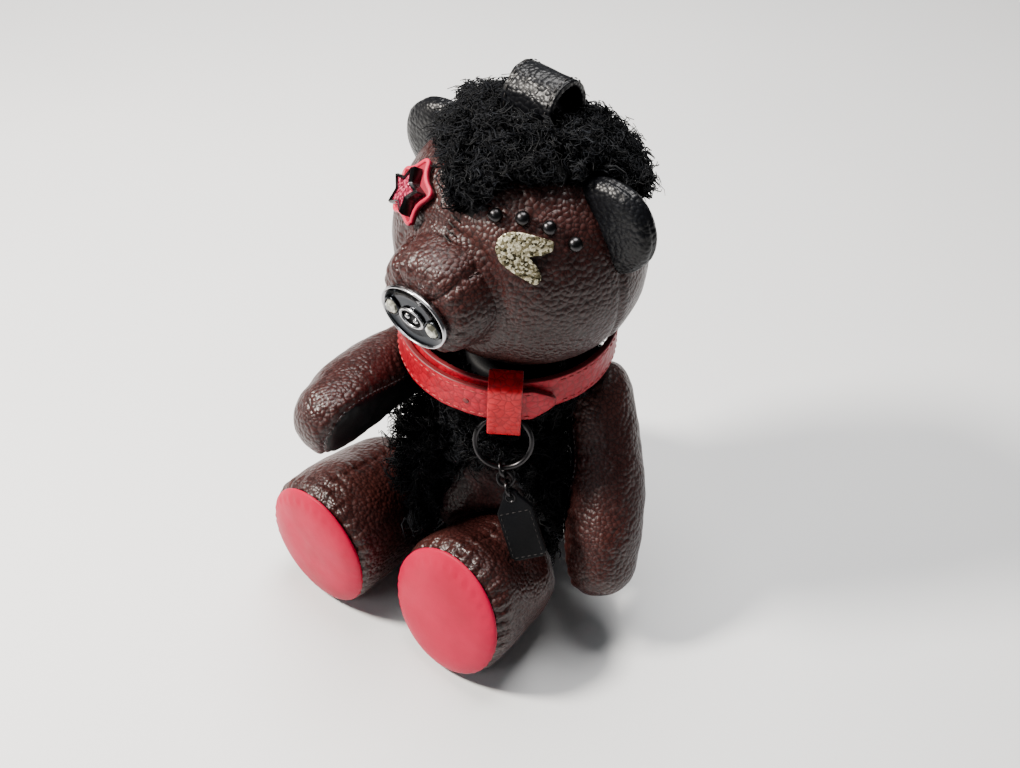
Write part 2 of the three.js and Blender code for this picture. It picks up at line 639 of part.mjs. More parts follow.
function chainFrames() {
  const low = ringFrame().multiply(new THREE.Matrix4().makeTranslation(0, -2 * RING.radius, 0));
  const start = new THREE.Vector3().setFromMatrixPosition(low);
  const down = TAG_END.clone().sub(start).normalize();
  const out = new THREE.Vector3(0.62, -0.78, 0);
  out.addScaledVector(down, -out.dot(down)).normalize();
  const across = new THREE.Vector3().crossVectors(out, down);
  const inLine = new THREE.Matrix4().makeBasis(out, down, across);
  const crosswise = new THREE.Matrix4().makeBasis(across.clone().negate(), down, out);
  return { start, down, inLine, crosswise };
}

function chainAndTag() {
  const { start, down, inLine, crosswise } = chainFrames();
  let reach = 0;
  for (let i = 0; i < LINK.count; i += 1) {
    const held = i === 0 ? RING.wire : LINK.wire;
    const middle = reach - nest(held, LINK.wire) + LINK.radius;
    const place = (i % 2 === 0 ? inLine : crosswise).clone();
    place.setPosition(start.clone().addScaledVector(down, middle));
    piece(`tag_link_${i + 1}`, moved(wireRing(LINK.radius, LINK.wire, 12), place), gunmetal);
    reach = middle + LINK.radius;
  }
  const eye = reach - nest(LINK.wire, TAG.rim - TAG.eye) + TAG.rim;
  const place = crosswise.clone().setPosition(start.clone().addScaledVector(down, eye));
  piece('tag', moved(slab(tagShape(), TAG.thick, -TAG.thick / 2), place), blackLeather);
}

// The tag's outline hangs along +Y from the middle of its eye.
function tagShape() {
  const half = TAG.width / 2;
  const shape = new THREE.Shape();
  shape.moveTo(-TAG.rim, 0);
  shape.absarc(0, 0, TAG.rim, Math.PI, 0, false);
  shape.lineTo(half, 2.2);
  shape.lineTo(half, TAG.length);
  shape.lineTo(-half, TAG.length);
  shape.lineTo(-half, 2.2);
  shape.lineTo(-TAG.rim, 0);
  const hole = new THREE.Path();
  hole.absarc(0, 0, TAG.eye, 0, Math.PI * 2, true);
  shape.holes.push(hole);
  return shape;
}

torso();
chestShearling();
head();
ears();
snout();
nose();
starEye();
winkEye();
browStuds();
hair();
hangLoop();
arms();
legs();
collar();
buckle();
keeper();
ring();
chainAndTag();
discJoint('neck', neckAxis);
for (const [name, side] of SIDES) {
  discJoint(`shoulder_${name}`, shoulderAxis(side));
  discJoint(`hip_${name}`, hipAxis(side));
}

export default bear;
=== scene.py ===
import json
import math
import random

import bmesh
import bpy
import numpy as np
from mathutils import Matrix, Vector, noise


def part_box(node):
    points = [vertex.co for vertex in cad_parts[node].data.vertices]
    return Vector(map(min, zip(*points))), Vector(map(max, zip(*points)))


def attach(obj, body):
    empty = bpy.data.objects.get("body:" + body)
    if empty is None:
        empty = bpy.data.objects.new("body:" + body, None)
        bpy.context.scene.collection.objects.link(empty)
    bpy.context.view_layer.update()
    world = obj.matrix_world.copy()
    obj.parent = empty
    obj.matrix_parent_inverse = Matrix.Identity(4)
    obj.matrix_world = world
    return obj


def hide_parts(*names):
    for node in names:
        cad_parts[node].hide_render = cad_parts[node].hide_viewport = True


# A seated leather bear charm. Sizes are in millimetres, in the frame's own axes, until mesh() scales them.
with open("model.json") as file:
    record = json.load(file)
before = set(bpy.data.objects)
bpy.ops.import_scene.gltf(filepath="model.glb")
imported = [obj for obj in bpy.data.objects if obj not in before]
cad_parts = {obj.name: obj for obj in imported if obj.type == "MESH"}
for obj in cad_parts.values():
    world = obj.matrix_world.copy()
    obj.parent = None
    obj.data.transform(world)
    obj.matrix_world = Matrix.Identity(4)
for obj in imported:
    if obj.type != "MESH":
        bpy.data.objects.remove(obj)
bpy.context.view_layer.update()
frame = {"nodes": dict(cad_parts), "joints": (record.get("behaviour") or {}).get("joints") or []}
MM = 0.001
TAU = 2 * math.pi
UP = Vector((0, 0, 1))
SIDES = (("left", 1), ("right", -1))


def node_box(name):
    """A node's lowest and highest corners, in millimetres."""
    low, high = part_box(name)
    return Vector(low) / MM, Vector(high) / MM


def joint(name):
    """A joint's place in millimetres and its axis."""
    row = next(j for j in frame["joints"] if j["name"] == name)
    return Vector(row["pos_m"]) / MM, Vector(row["axis"]).normalized()


# ---- driving dimensions -------------------------------------------------------------------------
TORSO_TURN = math.radians(18)
COLLAR_TURN = math.radians(37)
ARM_REST = {"left": math.radians(-40), "right": math.radians(104)}
ARM = {"radius": 7.5, "length": 31.0, "offset": 6.3, "bow": 1.4}
LEG = {"radius": 12.6, "foot": 14.1, "left": (-38.4, 12.0), "right": (-41.4, 3.0)}

head_low, head_high = node_box("head_skin")
HEAD_RADII = Vector(((head_high.x - head_low.x) / 2, (head_high.y - head_low.y) / 2, 23.5))
HEAD_AT = Vector((0, (head_high.y + head_low.y) / 2, head_high.z - HEAD_RADII.z))
NECK_Z = joint("neck_swivel")[0].z
COLLAR_AT = joint("collar_swivel")[0]
STRAP = {"radius": 18.6, "thick": 1.1, "height": 7.0}


# ---- camera, light and floor --------------------------------------------------------------------
def set_camera():
    """Looks down from the bear's front left, rolled slightly."""
    azimuth, elevation, roll = (math.radians(a) for a in (38.7, 45.3, 2.3))
    back = Vector((math.sin(azimuth) * math.cos(elevation), -math.cos(azimuth) * math.cos(elevation),
                   math.sin(elevation)))
    right = Vector((math.cos(azimuth), math.sin(azimuth), 0))
    above = back.cross(right)
    across = right * math.cos(roll) + above * math.sin(roll)
    upward = above * math.cos(roll) - right * math.sin(roll)
    data = bpy.data.cameras.new("camera")
    data.lens = 41.3
    data.sensor_width = 36
    data.clip_start = 0.01
    camera = bpy.data.objects.new("camera", data)
    camera.matrix_world = axes_at(Vector((100.9, -126.1, 203.0)) * MM, across, upward, back)
    bpy.context.scene.collection.objects.link(camera)
    bpy.context.scene.camera = camera


def area_light(name, place, size, power, colour, target=(0, -5, 45)):
    data = bpy.data.lights.new(name, "AREA")
    data.shape = "DISK"
    data.size = size * MM
    data.energy = power
    data.color = colour
    light = bpy.data.objects.new(name, data)
    light.location = Vector(place) * MM
    light.rotation_euler = (Vector(place) - Vector(target)).to_track_quat("Z", "Y").to_euler()
    bpy.context.scene.collection.objects.link(light)


def set_stage():
    area_light("key", (-200, -190, 330), 70, 4.6, (1.0, 0.94, 0.86))
    area_light("front", (-60, -420, 330), 150, 0.3, (0.95, 0.97, 1.0))
    area_light("overhead", (-80, 120, 480), 300, 4.4, (1.0, 0.98, 0.96))
    world = bpy.data.worlds.new("room")
    world.use_nodes = True
    world.node_tree.nodes["Background"].inputs[0].default_value = (0.86, 0.9, 0.93, 1)
    world.node_tree.nodes["Background"].inputs[1].default_value = 0.09
    bpy.context.scene.world = world
    verts = [(-900, -900, 0), (900, -900, 0), (900, 900, 0), (-900, 900, 0)]
    floor = mesh("floor", verts, [(0, 1, 2, 3)], ["floor"])


# ---- mesh tools ---------------------------------------------------------------------------------
def mesh(name, verts, faces, materials, smooth=True):
    """Object from vertices in millimetres, with materials given by their keys in MATERIAL."""
    data = bpy.data.meshes.new(name)
    data.from_pydata([tuple(c * MM for c in v) for v in verts], [], faces)
    data.update()
    for key in materials:
        data.materials.append(MATERIAL[key])
    data.polygons.foreach_set("use_smooth", [smooth] * len(data.polygons))
    obj = bpy.data.objects.new(name, data)
    bpy.context.scene.collection.objects.link(obj)
    tidy_normals(obj)
    return obj


def tidy_normals(obj):
    bm = bmesh.new()
    bm.from_mesh(obj.data)
    bmesh.ops.recalc_face_normals(bm, faces=bm.faces)
    bm.to_mesh(obj.data)
    bm.free()


def place(obj, body, slot, *nodes, fill=None):
    """Rides on a body and stands for its CAD nodes; fill, the padding asked for, is not used."""
    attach(obj, body)
    if nodes:
        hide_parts(*nodes)
    return obj


def part(name, shape, materials, body, slot, *nodes, smooth=True):
    """Hard piece, made from its (verts, faces) and placed in one step."""
    return place(mesh(name, *shape, materials, smooth), body, slot, *nodes)


def pod(point, rows, cols):
    """Closed form from point(t, a): t runs 0 to 1 from pole to pole, a is the angle round."""
    verts = [point(0, 0)]
    for i in range(1, rows):
        verts += [point(i / rows, TAU * j / cols) for j in range(cols)]
    verts.append(point(1, 0))
    faces = [(0, 1 + j, 1 + (j + 1) % cols) for j in range(cols)]
    for i in range(rows - 2):
        low, high = 1 + i * cols, 1 + (i + 1) * cols
        faces += [(low + j, high + j, high + (j + 1) % cols, low + (j + 1) % cols) for j in range(cols)]
    last = 1 + (rows - 2) * cols
    faces += [(last + j, len(verts) - 1, last + (j + 1) % cols) for j in range(cols)]
    return verts, faces


def loop_grid(point, rows, cols, closed=True):
    """Tube-like grid from point(s, a): s runs 0 to 1 along it, a is the angle round its section.

    A closed grid joins its end to its start, and an open one is capped at both ends.
    """
    count = rows if closed else rows + 1
    verts = [point(i / rows, TAU * j / cols) for i in range(count) for j in range(cols)]
    faces = []
    for i in range(rows):
        low, high = i * cols, ((i + 1) % count) * cols
        faces += [(low + j, high + j, high + (j + 1) % cols, low + (j + 1) % cols) for j in range(cols)]
    if not closed:
        faces.append(tuple(range(cols)))
        faces.append(tuple(range(rows * cols, (rows + 1) * cols)))
    return verts, faces


def join(parts):
    """One vertex and face list from several."""
    verts, faces = [], []
    for part_verts, part_faces in parts:
        start = len(verts)
        verts += [tuple(v) for v in part_verts]
        faces += [tuple(i + start for i in f) for f in part_faces]
    return verts, faces


def clamp(x):
    return min(max(x, 0.0), 1.0)


def ease(x):
    """Smooth step from 0 to 1."""
    x = clamp(x)
    return x * x * (3 - 2 * x)


def axes_at(origin, x, y, z):
    """Frame at a point, from its three axes."""
    return Matrix.Translation(origin) @ Matrix((x, y, z)).transposed().to_4x4()


def spline(points, t):
    """Point at t, 0 to 1, on a smooth curve through the points."""
    spans = len(points) - 1
    at = clamp(t) * spans
    i = min(int(at), spans - 1)
    u = at - i
    p1, p2 = Vector(points[i]), Vector(points[i + 1])
    p0 = Vector(points[max(i - 1, 0)])
    p3 = Vector(points[min(i + 2, spans)])
    return 0.5 * (2 * p1 + (p2 - p0) * u + (2 * p0 - 5 * p1 + 4 * p2 - p3) * u * u
                  + (3 * p1 - p0 - 3 * p2 + p3) * u * u * u)


def tube(path, radius, sides=8, closed=False):
    """Round wire along a list of points."""
    points = [Vector(p) for p in path]
    count = len(points)
    spare = Vector((0.3, 0.2, 0.93))

    def ring(s, a):
        i = round(s * (count if closed else count - 1)) % count
        if closed:
            along = points[(i + 1) % count] - points[i - 1]
        else:
            along = points[min(i + 1, count - 1)] - points[max(i - 1, 0)]
        along.normalize()
        first = along.cross(spare).normalized()
        second = along.cross(first)
        return points[i] + (first * math.cos(a) + second * math.sin(a)) * radius

    return loop_grid(ring, count if closed else count - 1, sides, closed)


def turned(profile, steps, matrix=Matrix.Identity(4)):
    """Form turned about local Z from [radius, height] points, its first and last points on the axis."""
    rows = len(profile) - 1

    def point(t, a):
        r, h = profile[round(t * rows)]
        return matrix @ Vector((r * math.cos(a), r * math.sin(a), h))

    return pod(point, rows, steps)


def slab(outline, low, high, matrix, bevel=0.0):
    """Flat piece from an outline in local XY, with a small bevel round its top edge."""
    count = len(outline)
    centre = sum((Vector(p) for p in outline), Vector((0, 0))) / count
    levels = [(low, 0.0), (high - bevel, 0.0)]
    if bevel:
        levels += [(high - bevel * 0.3, bevel * 0.3), (high, bevel)]
    verts = []
    for height, inset in levels:
        for i, p in enumerate(outline):
            before, after = Vector(outline[i - 1]), Vector(outline[(i + 1) % count])
            edge = (after - before).normalized()
            inward = Vector((-edge.y, edge.x))
            if inward.dot(centre - Vector(p)) < 0:
                inward = -inward
            q = Vector(p) + inward * inset
            verts.append(matrix @ Vector((q.x, q.y, height)))
    faces = [tuple(range(count)), tuple(range((len(levels) - 1) * count, len(levels) * count))]
    for k in range(len(levels) - 1):
        a, b = k * count, (k + 1) * count
        faces += [(a + i, a + (i + 1) % count, b + (i + 1) % count, b + i) for i in range(count)]
    return verts, faces


def stitches(path, out, length, width, spacing):
    """Short threads laid along a path; out(p) is the surface's outward direction at a point."""
    parts = []
    points = [Vector(p) for p in path]
    gone, due = 0.0, spacing / 2
    for a, b in zip(points, points[1:]):
        step = (b - a).length
        while step > 0 and due <= gone + step:
            at = a.lerp(b, (due - gone) / step)
            along = (b - a).normalized()
            normal = out(at).normalized()
            side = along.cross(normal).normalized()
            normal = side.cross(along)

            def thread(t, angle, at=at, along=along, side=side, normal=normal):
                x = -math.cos(math.pi * t) * length / 2
                r = width / 2 * math.sin(math.pi * t) ** 0.5
                lift = width * 0.22 - 0.6 * (x / length) ** 2 * width
                return at + along * x + side * r * math.cos(angle) + normal * (r * math.sin(angle) + lift)

            parts.append(pod(thread, 6, 6))
            due += spacing
        gone += step
    return join(parts)


def subdivide(obj, levels=1):
    modifier = obj.modifiers.new("smooth", "SUBSURF")
    modifier.levels = levels
    modifier.render_levels = levels


def apply_modifiers(obj):
    bpy.context.view_layer.update()
    seen = obj.evaluated_get(bpy.context.evaluated_depsgraph_get())
    obj.data = bpy.data.meshes.new_from_object(seen)
    obj.modifiers.clear()


def stuff(obj, voxel, cap):
    """Swells a closed skin over its stuffing with cloth under light pressure, moved at most cap.

    The skin is simulated at ten times its size, which is where cloth behaves as sewn leather does.
    """
    grow = 10.0
    remesh = obj.modifiers.new("remesh", "REMESH")
    remesh.mode = "VOXEL"
    remesh.voxel_size = voxel * MM
    apply_modifiers(obj)
    start = [v.co.copy() for v in obj.data.vertices]
    obj.data.transform(Matrix.Scale(grow, 4))
    cloth = obj.modifiers.new("cloth", "CLOTH")
    cloth.settings.use_pressure = True
    cloth.settings.uniform_pressure_force = 4.0
    cloth.settings.tension_stiffness = 30
    cloth.settings.compression_stiffness = 30
    cloth.settings.bending_stiffness = 1.5
    cloth.settings.effector_weights.gravity = 0
    scene = bpy.context.scene
    for step in range(1, 21):
        scene.frame_set(step)
    apply_modifiers(obj)
    scene.frame_set(1)
    for v, rest in zip(obj.data.vertices, start):
        move = v.co / grow - rest
        if move.length > cap * MM:
            move = move.normalized() * cap * MM
        v.co = rest + move
    subdivide(obj)
    apply_modifiers(obj)
    obj.data.polygons.foreach_set("use_smooth", [True] * len(obj.data.polygons))


def sculpt(obj, lift):
    """Moves each vertex along its normal by lift(point) millimetres."""
    normals = [v.normal.copy() for v in obj.data.vertices]
    for v, n in zip(obj.data.vertices, normals):
        v.co += n * (lift(v.co / MM) * MM)
    obj.data.update()


def zone(obj, index, test):
    """Faces whose middle passes test(point, normal) get another of the piece's materials."""
    for face in obj.data.polygons:
        if test(face.center / MM, face.normal):
            face.material_index = index


def groove(distance, width, depth):
    """Depth of a soft groove, at a distance from its middle."""
    return -depth * math.exp(-(distance / width) ** 2)


def ripple(p, size):
    """Slow unevenness of a stuffed skin."""
    return noise.noise(p / size)


# ---- materials ----------------------------------------------------------------------------------
class Nodes:
    """Small builder for one material's node tree."""

    def __init__(self, name):
        self.material = bpy.data.materials.new(name)
        self.material.use_nodes = True
        self.tree = self.material.node_tree
        self.shader = self.tree.nodes["Principled BSDF"]
        self.coords = self.add("ShaderNodeTexCoord").outputs["Object"]

    def add(self, kind, **values):
        made = self.tree.nodes.new(kind)
        for key, value in values.items():
            setattr(made, key, value)
        return made

    def link(self, a, b):
        self.tree.links.new(a, b)

    def noise(self, scale, detail=3.0, roughness=0.55, vector=None):
        made = self.add("ShaderNodeTexNoise")
        made.inputs["Scale"].default_value = scale
        made.inputs["Detail"].default_value = detail
        made.inputs["Roughness"].default_value = roughness
        self.link(vector or self.coords, made.inputs["Vector"])
        return made.outputs["Fac"]

    def cells(self, scale, feature="F1", vector=None):
        made = self.add("ShaderNodeTexVoronoi", feature=feature)
        made.inputs["Scale"].default_value = scale
        self.link(vector or self.coords, made.inputs["Vector"])
        return made

    def ramp(self, source, stops):
        made = self.add("ShaderNodeValToRGB")
        elements = made.color_ramp.elements
        while len(elements) < len(stops):
            elements.new(0.5)
        for element, (at, colour) in zip(elements, stops):
            element.position = at
            element.color = (*colour, 1) if len(colour) == 3 else colour
        self.link(source, made.inputs["Fac"])
        return made.outputs["Color"]

    def math(self, operation, a, b):
        made = self.add("ShaderNodeMath", operation=operation)
        for value, socket in ((a, made.inputs[0]), (b, made.inputs[1])):
            if isinstance(value, (int, float)):
                socket.default_value = value
            else:
                self.link(value, socket)
        return made.outputs[0]

    def mix(self, factor, a, b, blend="MIX"):
        made = self.add("ShaderNodeMix", data_type="RGBA", blend_type=blend)
        for value, socket in ((factor, made.inputs[0]), (a, made.inputs[6]), (b, made.inputs[7])):
            if isinstance(value, (int, float)):
                socket.default_value = value
            elif isinstance(value, tuple):
                socket.default_value = (*value, 1)
            else:
                self.link(value, socket)
        return made.outputs[2]

    def warped(self, amount, scale):
        """Object coordinates bent a little by noise, so that cells are uneven."""
        made = self.add("ShaderNodeTexNoise")
        made.inputs["Scale"].default_value = scale
        self.link(self.coords, made.inputs["Vector"])
        shift = self.add("ShaderNodeVectorMath", operation="SCALE")
        shift.inputs["Scale"].default_value = amount
        self.link(made.outputs["Color"], shift.inputs[0])
        total = self.add("ShaderNodeVectorMath", operation="ADD")
        self.link(self.coords, total.inputs[0])
        self.link(shift.outputs[0], total.inputs[1])
        return total.outputs[0]

    def bump(self, height, strength, distance, below=None):
        made = self.add("ShaderNodeBump")
        made.inputs["Strength"].default_value = strength
        made.inputs["Distance"].default_value = distance
        self.link(height, made.inputs["Height"])
        if below:
            self.link(below, made.inputs["Normal"])
        return made.outputs["Normal"]

    def surface(self, colour=None, rough=None, normal=None, **fixed):
        for value, key in ((colour, "Base Color"), (rough, "Roughness"), (normal, "Normal")):
            socket = self.shader.inputs[key]
            if isinstance(value, (int, float)):
                socket.default_value = value
            elif isinstance(value, tuple):
                socket.default_value = (*value, 1)
            elif value is not None:
                self.link(value, socket)
        for key, value in fixed.items():
            self.shader.inputs[key.replace("_", " ")].default_value = value
        return self.material


def leather(name, dark, body, worn, cell=0.85, relief=1.0, rough=(0.34, 0.48), shine=0.34):
    """Pebbled leather: rounded grain about cell millimetres across, with painted shade in the creases
    between.
    """
    n = Nodes(name)
    where = n.warped(0.0008, 420)
    grain = n.cells(1 / (cell * MM), "F1", where).outputs["Distance"]
    crease = n.cells(1 / (cell * MM), "DISTANCE_TO_EDGE", where).outputs["Distance"]
    tone = n.ramp(n.noise(55, 4.0), [(0.3, tuple(0.75 * c for c in body)), (0.52, body), (0.75, worn)])
    # Towards each cell's edge the colour goes to dark: painted shade in the creases between pebbles.
    shade = n.mix(n.ramp(crease, [(0.0, (0.1,) * 3), (0.12, (1, 1, 1))]), dark, tone)
    pebble = n.ramp(grain, [(0.2, (1, 1, 1)), (0.85, (0, 0, 0))])
    wrinkle = n.cells(1 / (0.36 * cell * MM), "F1", where).outputs["Distance"]
    normal = n.bump(pebble, 0.55 * relief, 0.0003)
    normal = n.bump(wrinkle, -0.26 * relief, 0.0002, normal)
    normal = n.bump(n.noise(110, 4.0, 0.6), 0.1 * relief, 0.0006, normal)
    patchy = n.ramp(n.noise(170, 3.0), [(0.3, (rough[0],) * 3), (0.7, (rough[1],) * 3)])
    return n.surface(shade, patchy, normal, Specular_IOR_Level=shine)


def smooth_leather(name, dark, body, worn, rough=(0.38, 0.52), shine=0.35):
    """Smooth dyed leather with fine pores and slow changes of tone."""
    n = Nodes(name)
    tone = n.ramp(n.noise(60, 5.0, 0.6), [(0.3, dark), (0.52, body), (0.75, worn)])
    pores = n.cells(2600).outputs["Distance"]
    normal = n.bump(pores, 0.14, 0.00007)
    normal = n.bump(n.noise(140, 5.0, 0.62), 0.16, 0.0006, normal)
    patchy = n.ramp(n.noise(200, 3.0), [(0.3, (rough[0],) * 3), (0.7, (rough[1],) * 3)])
    return n.surface(tone, patchy, normal, Specular_IOR_Level=shine)


def pile_material(name, root, tip):
    """Curled wool: tone changes from strand to strand, and it is nearly matt."""
    n = Nodes(name)
    lock = n.add("ShaderNodeNewGeometry").outputs["Random Per Island"]
    tone = n.ramp(lock, [(0.0, root), (0.7, tip), (1.0, tuple(c * 1.8 for c in tip))])
    normal = n.bump(n.noise(3500, 2.0), 0.4, 0.0001)
    return n.surface(tone, 0.6, normal, Specular_IOR_Level=0.16)


def metal(name, colour, rough, scratch=0.12):
    """Plated metal with fine rubbing marks and dull patches."""
    n = Nodes(name)
    tone = n.ramp(n.noise(220, 4.0), [(0.3, tuple(c * 0.82 for c in colour)), (0.7, colour)])
    dull = n.ramp(n.noise(700, 5.0, 0.7), [(0.35, (rough,) * 3), (0.75, (rough + 0.16,) * 3)])
    normal = n.bump(n.noise(2600, 2.0), scratch, 0.00003)
    return n.surface(tone, dull, normal, Metallic=1.0)


def glitter(name, base, flake, bright):
    """Fine flakes set in lacquer: each cell has its own tilt and tone."""
    n = Nodes(name)
    flakes = n.cells(2800)
    tone = n.ramp(flakes.outputs["Color"], [(0.2, base), (0.55, flake), (0.85, bright)])
    normal = n.bump(flakes.outputs["Color"], 0.9, 0.0002)
    rough = n.ramp(flakes.outputs["Distance"], [(0.0, (0.18,) * 3), (0.6, (0.5,) * 3)])
    return n.surface(tone, rough, normal, Metallic=0.75)


def thread_material(name, colour):
    n = Nodes(name)
    tone = n.ramp(n.noise(2500, 2.0), [(0.3, tuple(c * 0.6 for c in colour)), (0.7, colour)])
    return n.surface(tone, 0.7, n.bump(n.noise(6000, 1.0), 0.4, 0.00005))


def crystal_material():
    n = Nodes("crystal")
    # Bright spots at the cells' middles are painted glints, and the dark between them painted dark
    # reflections of the facets.
    tone = n.ramp(n.cells(900).outputs["Distance"], [(0.0, (0.85, 0.85, 0.72)), (0.7, (0.10, 0.10, 0.08))])
    return n.surface(tone, 0.04, n.bump(n.noise(900, 1.0), 0.1, 0.00003), Metallic=0.35, Coat_Weight=1.0)


def stuffing_material():
    n = Nodes("stuffing_fibre")
    fibres = n.noise(1400, 6.0, 0.8)
    tone = n.ramp(fibres, [(0.3, (0.6, 0.58, 0.54)), (0.7, (0.86, 0.85, 0.82))])
    return n.surface(tone, 0.95, n.bump(fibres, 0.8, 0.0006), Sheen_Weight=0.3)


def board_material():
    n = Nodes("fibreboard")
    specks = n.noise(1800, 6.0, 0.8)
    tone = n.ramp(specks, [(0.35, (0.012, 0.010, 0.009)), (0.65, (0.03, 0.026, 0.023))])
    return n.surface(tone, 0.8, n.bump(specks, 0.4, 0.0001))


def floor_material():
    n = Nodes("floor_card")
    tone = n.ramp(n.noise(6, 2.0), [(0.3, (0.70, 0.71, 0.72)), (0.7, (0.75, 0.755, 0.76))])
    return n.surface(tone, 0.55, n.bump(n.noise(900, 3.0), 0.03, 0.0001))


# In leather() the first colour is the painted shade of the creases; in smooth_leather() it is the darkest
# random tone.
MATERIAL = {
    "brown": leather("leather_brown", (0.005, 0.001, 0.001), (0.034, 0.0082, 0.0070),
                     (0.056, 0.0160, 0.0125)),
    "brown_soft": leather("leather_brown_panel", (0.004, 0.0008, 0.0009), (0.026, 0.006, 0.006),
                          (0.04, 0.011, 0.01), relief=0.7),
    "black": leather("leather_black", (0.0012, 0.0012, 0.0016), (0.003, 0.0032, 0.0044),
                     (0.005, 0.006, 0.008), cell=0.8, relief=0.7, rough=(0.3, 0.42), shine=0.22),
    "panel": smooth_leather("leather_black_panel", (0.001, 0.001, 0.0014), (0.002, 0.0022, 0.003),
                            (0.004, 0.0045, 0.006), shine=0.14),
    "sole": smooth_leather("leather_sole", (0.33, 0.0006, 0.024), (0.42, 0.0008, 0.035), (0.5, 0.004, 0.046),
                           shine=0.13),
    "red": leather("leather_red", (0.22, 0.001, 0.008), (0.38, 0.002, 0.015), (0.5, 0.006, 0.026), cell=1.4,
                   relief=0.8, rough=(0.38, 0.5), shine=0.22),
    # Brighter copy of the collar's red for the keeper: painted light, for the stronger light falling on the
    # keeper.
    "keeper": leather("leather_red_painted_lit", (0.34, 0.002, 0.008), (0.56, 0.004, 0.014), (0.7, 0.012, 0.026),
                      cell=1.4, relief=0.8, rough=(0.36, 0.48), shine=0.25),
    "red_edge": smooth_leather("leather_red_edge", (0.06, 0.004, 0.008), (0.12, 0.008, 0.012),
                               (0.2, 0.02, 0.02)),
    "pink": smooth_leather("patch_pink", (0.32, 0.004, 0.026), (0.48, 0.010, 0.046), (0.6, 0.03, 0.08)),
    "pink_shade": smooth_leather("patch_pink_shaded", (0.12, 0.002, 0.010), (0.2, 0.004, 0.018),
                                 (0.3, 0.012, 0.035)),
    "pile": pile_material("shearling", (0.0008, 0.0009, 0.0013), (0.003, 0.0036, 0.0052)),
    "backing": pile_material("shearling_backing", (0.0014, 0.0014, 0.0018), (0.002, 0.002, 0.0026)),
    "steel": metal("steel", (0.50, 0.50, 0.52), 0.14),
    # A far darker copy of the steel for the plate's face and the crystal bezels: a painted dark reflection.
    "plate": metal("nose_plate_face_painted_dark", (0.030, 0.033, 0.038), 0.14),
    "gunmetal": metal("gunmetal", (0.045, 0.043, 0.045), 0.24),
    "gold_glitter": glitter("glitter_gold", (0.035, 0.03, 0.014), (0.24, 0.21, 0.12), (0.9, 0.85, 0.64)),
    "pink_glitter": glitter("glitter_pink", (0.16, 0.003, 0.02), (0.5, 0.02, 0.08), (0.9, 0.16, 0.26)),
    "crystal": crystal_material(),
    "dark_thread": thread_material("thread_dark", (0.012, 0.009, 0.009)),
    "pale_thread": thread_material("thread_pale", (0.16, 0.16, 0.165)),
    "red_thread": thread_material("thread_red", (0.55, 0.07, 0.07)),
    "stuffing": stuffing_material(),
    "board": board_material(),
    "floor": floor_material(),
}


# ---- head ---------------------------------------------------------------------------------------
def on_head(azimuth, elevation, lift=0.0):
    """Point and outward normal, by degrees round from -Y towards +X and up from the equator."""
    a, e = math.radians(azimuth), math.radians(elevation)
    unit = Vector((math.sin(a) * math.cos(e), -math.cos(a) * math.cos(e), math.sin(e)))
    normal = Vector((unit.x / HEAD_RADII.x, unit.y / HEAD_RADII.y, unit.z / HEAD_RADII.z)).normalized()
    point = HEAD_AT + unit * HEAD_RADII
    return point + normal * lift, normal


def head_frame(azimuth, elevation, lift=0.0, spin=0.0):
    """Frame on the head: local Z out of the surface, local Y up along it."""
    point, normal = on_head(azimuth, elevation, lift)
    upward = (UP - normal * normal.z).normalized()
    across = upward.cross(normal)
    return axes_at(point, across, upward, normal) @ Matrix.Rotation(math.radians(spin), 4, "Z")


def head_angles(p):
    """Azimuth and elevation in degrees of the head's surface under a point."""
    q = p - HEAD_AT
    u = Vector((q.x / HEAD_RADII.x, q.y / HEAD_RADII.y, q.z / HEAD_RADII.z)).normalized()
    return math.degrees(math.atan2(u.x, -u.y)), math.degrees(math.asin(max(-1, min(1, u.z))))


HAIRLINE = ((-180, 22), (-120, 30), (-90, 47), (-53, 55), (-25, 53), (-14, 48), (0, 40), (9, 41), (15, 47),
            (23, 58), (61, 60), (85, 53), (120, 32), (180, 22))


def hairline(azimuth):
    """Lowest elevation of the hair at an azimuth, with a peak over the forehead."""
    for (a0, e0), (a1, e1) in zip(HAIRLINE, HAIRLINE[1:]):
        if a0 <= azimuth <= a1:
            return e0 + (e1 - e0) * (azimuth - a0) / (a1 - a0)
    return HAIRLINE[0][1]


def under_hair(p, _normal=None):
    azimuth, elevation = head_angles(p)
    return elevation > hairline(azimuth) + 0.5


def head():
    bottom = NECK_Z + 0.4

    def skin(t, a):
        e = math.pi * (t - 0.5)
        unit = Vector((math.cos(e) * math.cos(a), math.cos(e) * math.sin(a), math.sin(e)))
        chin = 1 - 0.25 * max(0.0, -0.45 - unit.z)
        p = Vector((unit.x * HEAD_RADII.x * chin, unit.y * HEAD_RADII.y * chin, unit.z * HEAD_RADII.z))
        p = p * 0.985 + HEAD_AT
        return Vector((p.x, p.y, max(p.z, bottom)))

    obj = mesh("head_leather", *pod(skin, 60, 90), ["brown", "backing"])
    stuff(obj, 1.1, 0.5)

    def relief(p):
        front = 1.0 if p.y < HEAD_AT.y else 0.0
        seam = front * groove(p.x, 0.55, 0.5)
        gather = front * 0.22 * math.sin(p.z * 3.3) * math.exp(-((abs(p.x) - 1.3) / 1.1) ** 2)
        side = 0.0
        if p.z < 92:
            side = groove(p.y - HEAD_AT.y + 1.5 - 0.1 * abs(p.z - HEAD_AT.z), 0.6, 0.55)
        round_snout = groove(math.hypot(p.x, p.z - 76.2) - 11.6, 0.8, 0.55) if p.y < -10 else 0.0
        return seam + gather + side + round_snout + 0.28 * ripple(p, 9) + 0.12 * ripple(p, 3.5)

    sculpt(obj, relief)
    zone(obj, 1, under_hair)
    place(obj, "head", "leather_brown", "head_skin", fill=0.95)
    seam = [on_head(0, e, -0.1)[0] for e in np.linspace(40, 23, 24)]
    part("forehead_stitches", cross_stitches(seam, 1.5, 0.95), ["dark_thread"], "head", "leather_brown")


